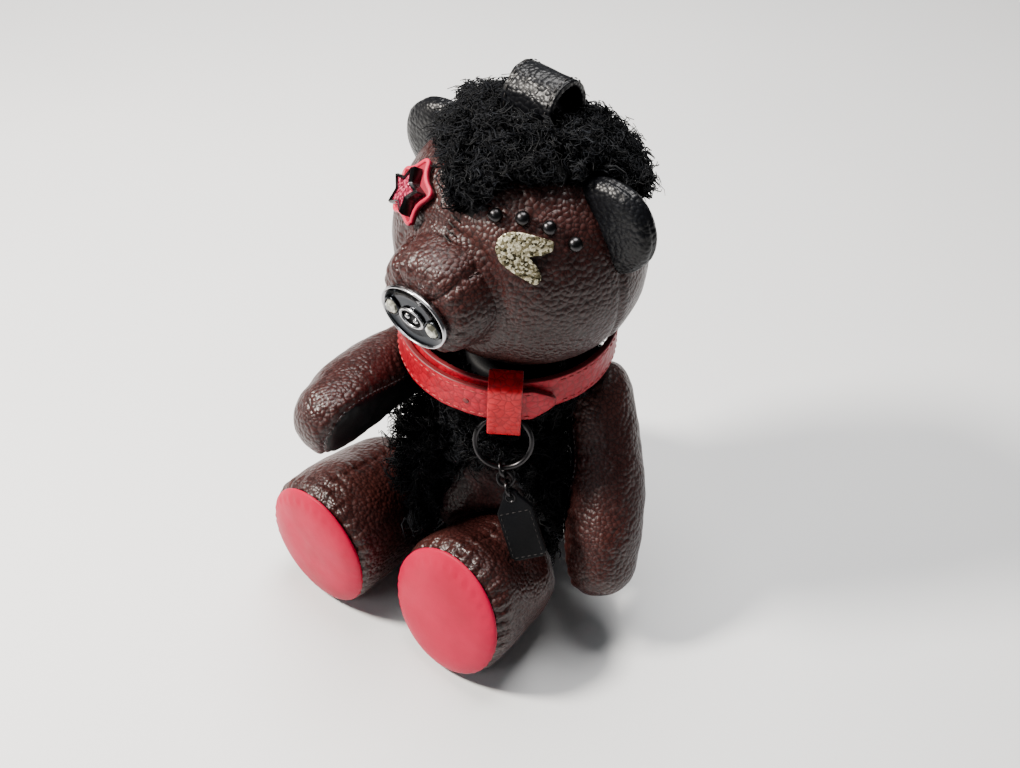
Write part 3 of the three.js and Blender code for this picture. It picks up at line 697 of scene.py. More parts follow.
def cross_stitches(path, length, spacing):
    """Threads laid across a gathered seam on the front of the head."""
    parts = []
    travelled = 0.0
    for a, b in zip(path, path[1:]):
        travelled += (b - a).length
        if travelled < spacing:
            continue
        travelled = 0.0
        normal = (a - HEAD_AT).normalized()
        along = (b - a).normalized()
        across = along.cross(normal)
        half = across * length / 2
        ends = [a - half + along * 0.2, a + normal * 0.25, a + half - along * 0.2]
        parts.append(tube([spline(ends, i / 6) for i in range(7)], 0.16, 6))
    return join(parts)


SNOUT_LOW, SNOUT_HIGH = node_box("snout")
SNOUT_FRONT = SNOUT_LOW.y
SNOUT_Z = 75.4
SNOUT_SQUASH = 0.95              # height of its round against its width
SNOUT_SEAM = 0.85                # radians up from the side


def snout():
    profile = [(0, 0.25), (4.5, 0.1), (6.8, 0.35), (8.8, 1.5), (10.0, 4.0), (10.6, 7.5), (10.9, 10.5),
               (11.0, 14.0), (0, 14.0)]

    def skin(t, a):
        r, y = spline(profile, t)
        r = max(r, 0.0)
        return Vector((r * math.cos(a), SNOUT_FRONT + y, SNOUT_SQUASH * r * math.sin(a) + SNOUT_Z + 0.08 * y))

    obj = mesh("snout_leather", *pod(skin, 60, 96), ["brown"])

    def relief(p):
        angle = math.atan2(p.z - SNOUT_Z - 0.5, abs(p.x))
        off = (angle - SNOUT_SEAM) * 10
        side = groove(off, 0.45, 0.6)
        pucker = 0.2 * math.sin(p.y * 3.6) * math.exp(-((abs(off) - 1.1) / 0.9) ** 2)
        near_plate = 0.15 * math.sin(angle * 22) * math.exp(-((p.y - SNOUT_FRONT - 1.2) / 1.2) ** 2)
        return side + pucker + near_plate + 0.22 * ripple(p, 6)

    sculpt(obj, relief)
    place(obj, "head", "leather_brown", "snout", fill=0.95)
    for name, side in SIDES:
        path = []
        for y in np.linspace(2.0, 10.5, 20):
            r = spline(profile, 0.2 + 0.6 * (y - 1.0) / 11.0).x
            path.append(Vector((side * r * math.cos(SNOUT_SEAM), SNOUT_FRONT + y,
                                SNOUT_SQUASH * r * math.sin(SNOUT_SEAM) + SNOUT_Z + 0.5)))
        threads = stitches(path, lambda p, s=side: Vector((s, 0, 1.1)), 0.9, 0.42, 1.05)
        part(f"snout_stitches_{name}", threads, ["brown_soft"], "head", "leather_brown")


# ---- nose ---------------------------------------------------------------------------------------
PLATE = {"half": Vector((7.1, 5.4)), "crystal_x": 4.5, "crystal_r": 1.45}


def nose():
    low, high = node_box("nose_plate")
    back = high.y
    centre = Vector((0, back, (low.z + high.z) / 2))
    out = Matrix.Translation(centre) @ Matrix.Rotation(math.pi / 2, 4, "X")
    half = PLATE["half"]
    thick = 1.0

    def oval(t, a):
        rim = [(0.0, 0.0), (1.0, 0.0), (1.0, thick * 0.75), (0.99, thick * 0.95), (0.965, thick * 1.05),
               (0.94, thick * 0.96), (0.925, thick * 0.72), (0.6, thick * 0.78), (0.0, thick * 0.85)]
        s, h = rim[round(t * (len(rim) - 1))]
        return out @ Vector((half.x * s * math.cos(a), half.y * s * math.sin(a), h))

    plate = mesh("nose_plate_polished", *pod(oval, 8, 96), ["steel", "plate"])
    inverse = out.inverted()

    def inside_rim(p, _normal):
        q = inverse @ p
        return q.z > 0.3 and math.hypot(q.x / half.x, q.y / half.y) < 0.93

    # Inside the rim the face takes the darker copy of the steel, painted as a dark reflection.
    zone(plate, 1, inside_rim)
    place(plate, "head", "steel", "nose_plate")
    for name, side in SIDES:
        at = out @ Matrix.Translation((side * PLATE["crystal_x"], 0, thick * 0.72))
        r = PLATE["crystal_r"]
        setting = [(0, 0), (r + 0.3, 0), (r + 0.28, 0.35), (r + 0.12, 0.5), (r - 0.05, 0.42), (r - 0.1, 0.1),
                   (0, 0.1)]
        part(f"crystal_bezel_{name}", turned(setting, 32, at), ["plate"], "head", "steel")
        cut = [(0, 0.05), (r - 0.14, 0.2), (r - 0.12, 0.42), (r * 0.8, 0.74), (r * 0.5, 0.98), (0, 1.0)]
        part(f"crystal_cut_{name}", turned(cut, 8, at), ["crystal"], "head", "crystal",
             f"nose_crystal_{name}", smooth=False)
    eyelet(out @ Matrix.Translation((0, 0, thick * 0.78)))


def eyelet(at):
    """Raised oval with a near-black disc painted in it as the shade of its recess, and two rivet heads in it.
    """
    path = [at @ Vector((2.45 * math.cos(a), 1.6 * math.sin(a), 0.3)) for a in np.linspace(0, TAU, 40)[:-1]]
    recess = [(0, 0.02), (1, 0.02), (1, 0.1), (0, 0.12)]

    def dish(t, a):
        s, h = recess[round(t * 3)]
        return at @ Vector((2.3 * s * math.cos(a), 1.45 * s * math.sin(a), h))

    part("eyelet_rim", tube(path, 0.32, 10, closed=True), ["steel"], "head", "steel", "nose_eyelet")
    # The dark leather disc lies flat inside the rim: painted shade where the recess is.
    part("eyelet_recess_shade", pod(dish, 3, 32), ["panel"], "head", "gunmetal")
    rivet = [(0, 0), (0.55, 0), (0.55, 0.25), (0.36, 0.45), (0, 0.5)]
    for i, side in enumerate((-1, 1), 1):
        spot = at @ Matrix.Translation((side * 0.95, 0, 0.1))
        part(f"eyelet_rivet_{i}", turned(rivet, 16, spot), ["steel"], "head", "steel")


# ---- eyes and brow --------------------------------------------------------------------------------
def star_outline(outer, inner, rounding, per_edge=6):
    """Five-pointed star with its points and notches rounded off."""
    corners = []
    for i in range(10):
        r = outer if i % 2 == 0 else inner
        a = math.pi * i / 5 + math.pi / 2
        corners.append(Vector((r * math.cos(a), r * math.sin(a))))
    outline = []
    for i, corner in enumerate(corners):
        before = corner.lerp(corners[i - 1], rounding)
        after = corner.lerp(corners[(i + 1) % 10], rounding)
        for k in range(per_edge + 1):
            u = k / per_edge
            outline.append(before.lerp(corner, u).lerp(corner.lerp(after, u), u))
    return outline


def wrap_on_head(obj, frame_matrix, base):
    """Lays a flat piece, made round the frame, over the head's curve at a height of base."""
    inverse = frame_matrix.inverted()
    for v in obj.data.vertices:
        local = inverse @ (v.co / MM)
        azimuth, elevation = head_angles(frame_matrix @ Vector((local.x, local.y, 0)))
        point, _ = on_head(azimuth, elevation, base + local.z)
        v.co = point * MM
    obj.data.update()


def star_eye():
    spin = 12
    at = head_frame(-33, 34.0, 0, spin)
    wavy = star_outline(6.5, 3.9, 0.4)
    patch = mesh("star_patch_leather", *slab(wavy, 0, 0.7, at, 0.2), ["pink_shade"])
    subdivide_flat(patch)
    wrap_on_head(patch, at, 0.15)
    place(patch, "head", "patch_pink", "star_patch")
    edge = [at @ Vector((p.x * 0.95, p.y * 0.95, 0)) for p in wavy]
    edge = [on_head(*head_angles(p), 0.85)[0] for p in edge]
    part("star_patch_edge", tube(edge, 0.38, 8, closed=True), ["pink"], "head", "patch_pink")
    stud_at = head_frame(-31, 34.0, 0.75, spin)
    outer = star_outline(4.4, 2.25, 0.12, 3)
    inner = star_outline(3.5, 1.7, 0.1, 3)
    part("star_stud_wall", rimmed_star(outer, inner, 2.1, stud_at), ["gunmetal"], "head", "gunmetal",
         "star_stud", smooth=False)
    part("star_inlay_glitter", slab(star_outline(3.35, 1.6, 0.1, 3), 0.2, 1.8, stud_at, 0.15),
         ["pink_glitter"], "head", "glitter_pink", "star_inlay", smooth=False)


def rimmed_star(outer, inner, height, matrix):
    """Star-shaped wall with a rounded rim: a section of five levels swept round both outlines."""
    count = len(outer)
    levels = [(outer, 0, 0.0), (outer, height * 0.75, 0.0), (outer, height, 0.35), (inner, height, -0.2),
              (inner, height * 0.7, 0.0), (inner, 0, 0.0)]
    verts = []
    for outline, h, inset in levels:
        for p in outline:
            q = Vector(p) * (1 - inset / max(Vector(p).length, 0.1))
            verts.append(matrix @ Vector((q.x, q.y, h)))
    faces = []
    for k in range(len(levels)):
        a, b = k * count, ((k + 1) % len(levels)) * count
        faces += [(a + i, a + (i + 1) % count, b + (i + 1) % count, b + i) for i in range(count)]
    return verts, faces


def subdivide_flat(obj, cuts=4):
    """Splits big flat faces so the piece can bend over a curve."""
    bm = bmesh.new()
    bm.from_mesh(obj.data)
    big = [f for f in bm.faces if len(f.verts) > 4]
    for face in big:
        bmesh.ops.poke(bm, faces=[face])
    long_edges = [e for e in bm.edges if e.calc_length() > 1.2 * MM]
    bmesh.ops.subdivide_edges(bm, edges=long_edges, cuts=cuts, use_grid_fill=True)
    bm.to_mesh(obj.data)
    bm.free()


def wink_eye():
    points = [(-4.5, 0.6), (-4.1, 2.3), (-2.6, 3.4), (-0.6, 3.5), (1.8, 3.1), (4.2, 2.6), (4.6, 2.0),
              (4.3, 0.9), (2.9, 0.4), (1.6, 0.2), (0.9, -0.3), (1.5, -1.1), (2.6, -2.3), (3.0, -3.4),
              (2.6, -4.3), (1.8, -4.5), (0.2, -3.7), (-1.8, -2.6), (-3.6, -1.3)]
    steps = 4 * len(points)
    outline = [spline(points + points[:1], i / steps) for i in range(steps)]
    at = head_frame(38, 31)
    patch = mesh("wink_glitter", *slab(outline, 0, 0.6, at, 0.15), ["gold_glitter"])
    subdivide_flat(patch)
    wrap_on_head(patch, at, 0.15)
    place(patch, "head", "glitter_gold", "wink_patch")


def brow_studs():
    r, rise = 1.2, 1.02
    dome = [(0, 0), (r, 0), (r, 0.3)]
    dome += [(r * math.cos(b), 0.35 + rise * math.sin(b)) for b in np.linspace(0.1, 1.45, 7)]
    dome.append((0, 0.35 + rise))
    for i, (azimuth, elevation) in enumerate(((22, 44.5), (37, 45), (51, 41.5), (63, 34)), 1):
        part(f"brow_dome_{i}", turned(dome, 28, head_frame(azimuth, elevation, 0.1)), ["gunmetal"], "head",
             "gunmetal", f"brow_stud_{i}")


# ---- ears ---------------------------------------------------------------------------------------
EAR_LEAN = math.radians(35)
EAR_AT = {"left": Vector((18.4, 1.0, 87.6)), "right": Vector((-17.4, 1.0, 87.0))}


def ears():
    for name, side in SIDES:
        centre = EAR_AT[name]
        turn = Matrix.Rotation(-side * EAR_LEAN, 4, "Y")

        def pad(t, a, centre=centre, turn=turn):
            rho = math.sin(math.pi * t)
            side_y = math.cos(math.pi * t)
            edge = abs(side_y) ** 0.8
            x, z = 8.7 * rho ** 0.9 * math.cos(a), 8.5 * rho ** 0.9 * math.sin(a)
            cup = 0.9 * math.exp(-((x - 1.5) ** 2 + z * z) / 22) if side_y > 0 else 0.0
            y = -math.copysign(3.4 * edge, side_y) + cup
            return centre + (turn @ Vector((x, y, z)))

        obj = mesh(f"ear_pad_{name}", *pod(pad, 40, 64), ["black"])
        stuff(obj, 0.8, 0.4)
        sculpt(obj, lambda p, c=centre: groove(p.y - c.y, 0.35, 0.35) + 0.15 * ripple(p, 4))
        place(obj, "head", "leather_black", f"ear_{name}", fill=0.9)


# ---- shearling ----------------------------------------------------------------------------------
STRANDS = 6


def curls(locks, sides=3, rings=7):
    """Wool: each lock is (root, normal, height, spread), grown as strands that curl together."""
    rng = np.random.default_rng(11)
    rows = [np.repeat(np.array([lock[i] for lock in locks]), STRANDS, axis=0) for i in range(4)]
    root, normal, height, spread = rows
    count = len(root)
    height = (height * rng.uniform(0.7, 1.12, count))[:, None]
    spread = (spread * rng.uniform(0.6, 1.35, count))[:, None]
    width = rng.uniform(0.13, 0.21, (count, 1))

    def per_lock(values, jitter):
        return np.repeat(values, STRANDS, axis=0) + rng.normal(0, jitter, (count, values.shape[1]))

    first = np.cross(normal, np.repeat(rng.normal(size=(len(locks), 3)), STRANDS, axis=0))
    first /= np.linalg.norm(first, axis=1)[:, None]
    second = np.cross(normal, first)
    phase = per_lock(rng.uniform(0, TAU, (len(locks), 1)), 0.35)
    turns = per_lock(rng.uniform(0.8, 1.9, (len(locks), 1)) * rng.choice([-1, 1], (len(locks), 1)), 0.12)
    lean = per_lock(rng.normal(0, 0.5, (len(locks), 2)), 0.16)
    root = root + first * rng.normal(0, 0.42, (count, 1)) + second * rng.normal(0, 0.42, (count, 1))
    steps = np.linspace(0, 1, rings)[None, :]
    angle = phase + TAU * turns * steps
    swing = spread * np.minimum(1, steps * 2.2)
    rise = height * np.sin(steps * 1.75)
    drift = steps ** 1.5 * height * 0.6
    one = swing * np.cos(angle) + lean[:, :1] * drift
    two = swing * np.sin(angle) + lean[:, 1:] * drift
    middle = (root[:, None, :] + normal[:, None, :] * rise[..., None] + first[:, None, :] * one[..., None]
              + second[:, None, :] * two[..., None])
    along = np.gradient(middle, axis=1)
    along /= np.linalg.norm(along, axis=2)[..., None]
    u = np.cross(along, normal[:, None, :] + 0.3 * first[:, None, :])
    u /= np.linalg.norm(u, axis=2)[..., None]
    v = np.cross(along, u)
    thick = width * (1 - 0.7 * steps ** 1.6)
    around = np.arange(sides) * TAU / sides
    ring = (u[:, :, None, :] * np.cos(around)[None, None, :, None]
            + v[:, :, None, :] * np.sin(around)[None, None, :, None])
    verts = (middle[:, :, None, :] + ring * thick[:, :, None, None]).reshape(-1, 3)
    base = np.arange(count)[:, None, None] * rings * sides
    k = np.arange(rings - 1)[None, :, None] * sides
    j = np.arange(sides)[None, None, :]
    after = (j + 1) % sides
    low, low_next = base + k + j, base + k + after
    high, high_next = low + sides, low_next + sides
    sheets = [np.stack([low, low_next, high_next], -1), np.stack([low, high_next, high], -1)]
    starts = np.arange(count) * rings * sides
    ends = starts + (rings - 1) * sides
    caps = [np.stack([starts + 2, starts + 1, starts], -1), np.stack([ends, ends + 1, ends + 2], -1)]
    return verts, np.concatenate([part.reshape(-1, 3) for part in sheets + caps])


def pile_piece(name, locks, body, node):
    """One mesh of all the locks, kept off the floor."""
    verts, triangles = curls(locks)
    verts[:, 2] = np.maximum(verts[:, 2], 0.3)
    data = bpy.data.meshes.new(name)
    data.vertices.add(len(verts))
    data.vertices.foreach_set("co", (verts * MM).astype(np.float32).ravel())
    data.loops.add(triangles.size)
    data.loops.foreach_set("vertex_index", triangles.astype(np.int32).ravel())
    data.polygons.add(len(triangles))
    data.polygons.foreach_set("loop_start", np.arange(0, triangles.size, 3, dtype=np.int32))
    data.update(calc_edges=True)
    data.polygons.foreach_set("use_smooth", [True] * len(triangles))
    data.materials.append(MATERIAL["pile"])
    obj = bpy.data.objects.new(name, data)
    bpy.context.scene.collection.objects.link(obj)
    place(obj, body, "shearling", node)


LOOP_LOW, LOOP_HIGH = node_box("hang_loop")
HAIR_LOCKS = 1500


def hair():
    """Curls over the crown, thin at the hairline and short round the hang loop."""
    locks = []
    rng = random.Random(3)
    while len(locks) < HAIR_LOCKS:
        z = rng.uniform(0.3, 1.0)
        azimuth, elevation = rng.uniform(-180, 180), math.degrees(math.asin(z))
        line = hairline(azimuth)
        if elevation < line:
            continue
        point, normal = on_head(azimuth, elevation, -0.3)
        if in_ear(point + normal, 1.12):
            continue
        in_width = LOOP_LOW.x - 0.8 < point.x < LOOP_HIGH.x + 0.8
        by_loop = in_width and LOOP_LOW.y - 0.8 < point.y < LOOP_HIGH.y + 0.8
        height = rng.uniform(2.9, 4.8) * min(1.0, 0.55 + (elevation - line) / 14)
        if by_loop:
            height = min(height, 1.6)
        clump = 1 + 0.35 * noise.noise(point / 3.0)
        locks.append((tuple(point), tuple(normal), height * clump, rng.uniform(0.45, 0.9)))
    pile_piece("hair_curls", locks, "head", "hair")


def in_ear(p, grow):
    """Inside an ellipsoid round an ear, where no hair grows."""
    for centre in EAR_AT.values():
        turn = Matrix.Rotation(math.copysign(EAR_LEAN, centre.x), 4, "Y")
        local = turn @ (p - centre)
        if (local.x / 9.2) ** 2 + (local.y / 3.9) ** 2 + (local.z / 9.0) ** 2 < grow:
            return True
    return False


# ---- torso --------------------------------------------------------------------------------------
TORSO = [(0, 0), (8.5, 0.1), (13.6, 5), (16.6, 12), (17.4, 20), (16.4, 28), (13.6, 36), (10.6, 43),
         (9.2, 48.4), (8.2, 51.2), (0, 51.3)]
SKIN_INSET = 0.5
FILLING_INSET = 2.2
SHOULDER_REACH = 23              # how far from the joint an arm presses on the torso


def torso_point(height_t, a, lift=0.0):
    """Torso surface, widest fore and aft at the chest and turned towards the raised arm."""
    r, z = spline(TORSO, height_t)
    chest = math.sin(math.pi * clamp((z - 4) / 50))
    r = max(r, 0.0) + lift
    local = Vector((r * math.cos(a), r * math.sin(a) * (1 + 0.24 * chest) - 1.2 * chest, z))
    return Matrix.Rotation(TORSO_TURN, 3, "Z") @ local


def torso_local(p):
    return Matrix.Rotation(-TORSO_TURN, 3, "Z") @ p


def shoulder(name, side):
    """The shoulder joint's place and its axis, pointing outwards."""
    pos, axis = joint(f"shoulder_{name}_swing")
    return pos, -side * axis


def in_belly(p, grow=1.0):
    """The oval of bare leather over the belly."""
    q = torso_local(p) - Vector((3.5, -24, 14))
    return (q.x / 10.5) ** 2 + (q.y / 14.5) ** 2 + (q.z / 26.5) ** 2 < grow


def beyond_arm(p):
    """How far a point is past the nearer plane that an arm turns against, and that plane."""
    planes = [shoulder(name, side) for name, side in SIDES]
    return max(((p - pos).dot(axis), (pos, axis)) for pos, axis in planes)


def in_leg(p, room):
    """Within a leg's round, with some room, in front of its hip."""
    for name, _ in SIDES:
        pos, _ = joint(f"hip_{name}_turn")
        if p.y < pos.y + 2 and math.hypot(p.x - pos.x, p.z - pos.z) < LEG["radius"] + room:
            return True
    return False


def torso_wall(t, a, inset):
    """Torso surface at a depth, pressed flat where the arms and legs turn against it."""
    p = torso_point(t, a, -inset)
    for name, side in SIDES:
        pos, axis = shoulder(name, side)
        past = (p - pos).dot(axis) + inset - 0.1
        if past > 0 and (p - pos).length < SHOULDER_REACH + 1:
            p = p - axis * past
        hip, _ = joint(f"hip_{name}_turn")
        away = math.hypot(p.x - hip.x, p.z - hip.z)
        if p.y < hip.y and away < LEG["radius"] + 0.1 + inset:
            p.y = hip.y + inset - 0.2
    return p


def torso():
    obj = mesh("torso_leather", *pod(lambda t, a: torso_wall(t, a, SKIN_INSET), 64, 96),
               ["brown_soft", "backing"])
    sculpt(obj, lambda p: 0.25 * ripple(p, 7))
    keep_above_floor(obj)
    zone(obj, 1, lambda p, n: p.z > 10 and not in_belly(p, 0.97))
    place(obj, "torso", "leather_brown", "torso_skin", fill=0.9)

    def inner(t, a):
        p = torso_wall(t, a, FILLING_INSET)
        p.z = FILLING_INSET + p.z * (1 - 2 * FILLING_INSET / TORSO[-1][1])
        return p

    part("torso_stuffing", pod(inner, 40, 60), ["stuffing"], "torso", "filling", "torso_filling")


CHEST_LOCKS = 1900
NECK_LOCKS = 520
NECK_RING = 11.5                 # radius of the circle the neck's pile grows on
PILE_FOOT, PILE_TOP = 9, 49.5    # heights between which the torso has pile


def chest_shearling():
    """Pile over the chest, back and neck, clipped short where the arms turn against the torso."""
    locks = []
    rng = random.Random(5)
    while len(locks) < CHEST_LOCKS:
        t, a = rng.uniform(0.16, 0.92), rng.uniform(0, TAU)
        point = torso_point(t, a)
        normal = (torso_point(t, a, 1.0) - point).normalized()
        if not PILE_FOOT < point.z < PILE_TOP or in_belly(point, 1.0) or in_leg(point + normal, 0.8):
            continue
        flank = torso_local(point).x < -4 and point.z < 38
        past, facing = beyond_arm(point)
        if past > -0.4 and (not flank or point.z > 33):
            if (point - facing[0]).length > SHOULDER_REACH:
                continue
            root = point - facing[1] * (past + 0.8)
            locks.append((tuple(root), tuple(facing[1]), rng.uniform(0.7, 1.1), rng.uniform(0.4, 0.7)))
            continue
        height = rng.uniform(3.0, 5.0) + (2.6 if flank and point.y < 8 else 0.0)
        if not flank:
            reach = clamp(-past / 0.9)
            height = min(height, 1.2 + 3.8 * reach)
        if point.z > 44:
            height *= 0.5
        clump = 1 + 0.3 * noise.noise(point / 3.0)
        locks.append((tuple(point - normal * 0.4), tuple(normal), height * clump, rng.uniform(0.5, 1.0)))
    for _ in range(NECK_LOCKS):
        a = rng.uniform(0, TAU)
        outward = Vector((math.cos(a), math.sin(a), rng.uniform(-0.05, 0.2))).normalized()
        root = Vector((NECK_RING * math.cos(a), NECK_RING * math.sin(a), rng.uniform(49.0, 51.0)))
        locks.append((tuple(root), tuple(outward), rng.uniform(4.6, 6.6), rng.uniform(0.5, 0.8)))
    pile_piece("chest_curls", locks, "torso", "chest_shearling")


# ---- arms ---------------------------------------------------------------------------------------
def arm_frame(name, side):
    """Local Z points outwards along the joint's axis and the arm runs along local -Y."""
    pos, outward = shoulder(name, side)
    upward = (UP - outward * outward.z).normalized()
    across = upward.cross(outward)
    return axes_at(pos, across, upward, outward) @ Matrix.Rotation(ARM_REST[name], 4, "Z")


ARM_PROFILE = [(0, -1.0), (0.55, -0.965), (0.9, -0.87), (1.02, -0.7), (1.0, -0.45), (0.95, -0.2),
               (0.97, 0.03), (0.66, 0.165), (0, 0.2)]
ARM_FULLNESS = {"left": 3.2, "right": 0.0}
PANEL_EDGE = 2.2


def panel_edge(name, y):
    """Height of the panel's seam over the joint's plane: a full arm bulges in below the armpit."""
    return PANEL_EDGE - ARM_FULLNESS[name] * ease((-y / ARM["length"] - 0.35) / 0.4)


def arm_local(name, t, a):
    """Arm in its own frame: round outside and nearly flat on the side next to the body."""
    r, h = spline(ARM_PROFILE, t)
    r = max(r, 0.0) * ARM["radius"]
    y = h * (ARM["length"] + ARM["radius"])
    along = clamp(-y / ARM["length"])
    z = r * math.sin(a) + ARM["offset"] + ARM["bow"] * math.sin(math.pi * along) - 0.9 * along * along
    inner = panel_edge(name, y)
    if z < inner:
        z = inner + 1.35 * (math.exp((z - inner) / 3.0) - 1)
    return Vector((r * math.cos(a), y, z))


def arms():
    for name, side in SIDES:
        matrix = arm_frame(name, side)
        inverse = matrix.inverted()

        def above_seam(p, name=name, inverse=inverse):
            q = inverse @ p
            return q.z - panel_edge(name, q.y)

        def relief(p, inverse=inverse, above_seam=above_seam):
            off = above_seam(p)
            seam = groove(off, 0.5, 0.45)
            pucker = 0.16 * math.sin((inverse @ p).y * 2.6) * math.exp(-((off - 1.2) / 1.4) ** 2)
            return seam + pucker + 0.3 * ripple(p, 6) + 0.12 * ripple(p, 2.5)

        obj = mesh(f"arm_leather_{name}", *pod(lambda t, a: matrix @ arm_local(name, t, a), 48, 48),
                   ["brown", "panel"])
        stuff(obj, 0.9, 0.45)
        sculpt(obj, relief)
        zone(obj, 1, lambda p, n: above_seam(p) < -0.1)
        place(obj, f"arm_{name}", "leather_brown", f"arm_skin_{name}", fill=0.95)
        edge_stitches(name, matrix, inverse, obj)


def edge_stitches(name, matrix, inverse, arm):
    """Threads along both edges of the arm's inner panel, found on the finished skin."""
    seam = [q for q in (inverse @ (v.co / MM) for v in arm.data.vertices)
            if abs(q.z - panel_edge(name, q.y)) < 0.5 and q.y < 3]
    middle = Vector((0, -ARM["length"] / 2, PANEL_EDGE))

    def heading(q):
        return math.atan2((q.y - middle.y) * 0.5, q.x)

    sections = 90
    path = []
    for i in range(sections):
        a = -math.pi + TAU * (i + 0.5) / sections
        near = [q for q in seam if abs(heading(q) - a) < math.pi / sections * 1.6]
        if near:
            mean = sum(near, Vector()) / len(near)
            outward = Vector((mean.x, mean.y - middle.y, 0)).normalized()
            path.append(matrix @ (Vector((mean.x, mean.y, panel_edge(name, mean.y) + 0.15)) + outward * 0.1))
    centre = matrix @ middle
    part(f"arm_stitches_{name}", stitches(path, lambda p: p - centre, 0.8, 0.16, 1.15), ["pale_thread"],
         f"arm_{name}", "leather_brown")


# ---- legs ---------------------------------------------------------------------------------------
PUCKERS = 34                     # gathers round the sole's seam


def leg_shape(side, hip, front, slope):
    """Returns the leg's point(t, a), from the sole's edge to the hip."""
    R = LEG["radius"]
    profile = [(0, front + 0.6), (R - 1.0, front + 0.3), (R - 0.2, front + 0.9), (R + 0.35, front + 2.6),
               (R + 0.3, -30), (R, -24), (R * 0.98, -20), (R * 0.84, -15.6), (7.0, hip.y - 0.5),
               (0, hip.y - 0.4)]

    def point(t, a):
        r, y = spline(profile, t)
        r = max(r, 0.0)
        z = r * math.sin(a)
        foot = ease((-y - 20) / 16)
        z *= 1 + foot * (LEG["foot"] / R - 1)
        y += foot * slope * (z + LEG["foot"])
        return Vector((side * abs(hip.x) + r * math.cos(a), y, z + hip.z + foot * (LEG["foot"] - R)))

    return point


def legs():
    for name, side in SIDES:
        hip, _ = joint(f"hip_{name}_turn")
        front, lean = LEG[name]
        slope = math.tan(math.radians(lean))
        obj = mesh(f"leg_leather_{name}", *pod(leg_shape(side, hip, front, slope), 60, 72), ["brown"])
        stuff(obj, 1.0, 0.4)

        def relief(p, hip=hip, front=front, slope=slope):
            depth = p.y - (front + slope * (p.z - 0.6))
            angle = math.atan2(p.z - hip.z, p.x - hip.x)
            wave = math.sin(angle * PUCKERS + 2.5 * ripple(p, 5))
            lift = 0.17 * wave * math.exp(-((depth - 2.0) / 1.8) ** 2)
            lift += 0.35 * ripple(p, 7) + 0.12 * ripple(p, 3)
            if p.z > hip.z:
                lift += groove(p.x - hip.x, 0.45, 0.4)
                lift += 0.2 * math.sin(p.y * 2.4 + angle * 2) * math.exp(-((p.x - hip.x) / 2.2) ** 2)
            return lift

        sculpt(obj, relief)
        keep_above_floor(obj)
        place(obj, f"leg_{name}", "leather_brown", f"leg_skin_{name}", fill=0.95)
        sole(name, side, hip, front, slope)


def keep_above_floor(obj, low=0.05):
    """Presses a piece flat where it rests."""
    for v in obj.data.vertices:
        v.co.z = max(v.co.z, low * MM)
    obj.data.update()


def sole(name, side, hip, front, slope):
    """Cushioned sole: a shallow dome on the leaning front of the foot."""
    R = LEG["radius"] - 0.3
    tall = LEG["foot"] / LEG["radius"]
    dome = [(0, -1.9), (0.45, -1.75), (0.75, -1.3), (0.93, -0.55), (1.0, 0.1), (0.98, 0.5), (0.6, 0.7),
            (0, 0.7)]

    def point(t, a):
        s, y = spline(dome, t)
        s = min(max(s, 0.0), 1.0)
        z = R * s * math.sin(a) * tall
        y = front + y + slope * (z + LEG["foot"])
        return Vector((side * abs(hip.x) + R * s * math.cos(a), y, z + hip.z + LEG["foot"] - LEG["radius"]))

    obj = mesh(f"sole_leather_{name}", *pod(point, 40, 96), ["sole"])

    def relief(p):
        angle = math.atan2(p.z - hip.z, p.x - hip.x)
        out = math.hypot(p.x - hip.x, (p.z - hip.z) / tall) / R
        return 0.1 * ripple(p, 6) + 0.12 * math.sin(angle * PUCKERS) * math.exp(-((out - 0.97) / 0.05) ** 2)

    sculpt(obj, relief)
    keep_above_floor(obj)
    place(obj, f"leg_{name}", "leather_sole", f"sole_{name}", fill=0.8)


# ---- collar -------------------------------------------------------------------------------------
BUCKLE = -68 - math.degrees(COLLAR_TURN)    # degrees round from the keeper


def collar_point(angle, radius, z):
    """Angle in degrees from the keeper, radius from the collar's middle."""
    a = math.radians(angle) + COLLAR_TURN
    return Vector((COLLAR_AT.x + radius * math.sin(a), COLLAR_AT.y - radius * math.cos(a), z))


def collar_frame(angle, radius, z):
    """Local Z out from the collar, local Y up."""
    a = math.radians(angle) + COLLAR_TURN
    outward = Vector((math.sin(a), -math.cos(a), 0))
    return axes_at(collar_point(angle, radius, z), UP.cross(outward), UP, outward)


def strap_section(thick, height, corner=0.3):
    """Rounded rectangle, thickness across X and height along Y."""
    points = []
    for cx, cy, start in ((1, 1, 0), (-1, 1, 90), (-1, -1, 180), (1, -1, 270)):
        for k in range(4):
            a = math.radians(start + 30 * k)
            points.append((cx * (thick / 2 - corner) + corner * math.cos(a),
                           cy * (height / 2 - corner) + corner * math.sin(a)))
    filled = []
    for i, (x, y) in enumerate(points):
        nx, ny = points[(i + 1) % len(points)]
        pieces = 5 if math.hypot(nx - x, ny - y) > 2 else 1
        filled += [(x + (nx - x) * k / pieces, y + (ny - y) * k / pieces) for k in range(pieces)]
    return filled


def strap(name, start, end, radius, z, pointed=False):
    """Band of collar leather with painted edges, between two angles, and pointed at its end if asked."""
    section = strap_section(STRAP["thick"], STRAP["height"])
    cols = len(section)
    rows = int(abs(end - start) / 2)

    def point(s, a):
        x, y = section[round(a / TAU * cols) % cols]
        angle = start + (end - start) * s
        if pointed:
            left = (1 - s) * (end - start)
            y *= min(1.0, 0.1 + left / 13) ** 0.7
        return collar_point(angle, radius + STRAP["thick"] / 2 + x, z + y)

    obj = mesh(name, *loop_grid(point, rows, cols, closed=False), ["red", "red_edge"])

    def rim(p, normal):
        return abs(normal.z) > 0.6 and abs(p.z - z) > 0.2

    zone(obj, 1, rim)
    sculpt(obj, lambda p: 0.07 * ripple(p, 3))
    return obj


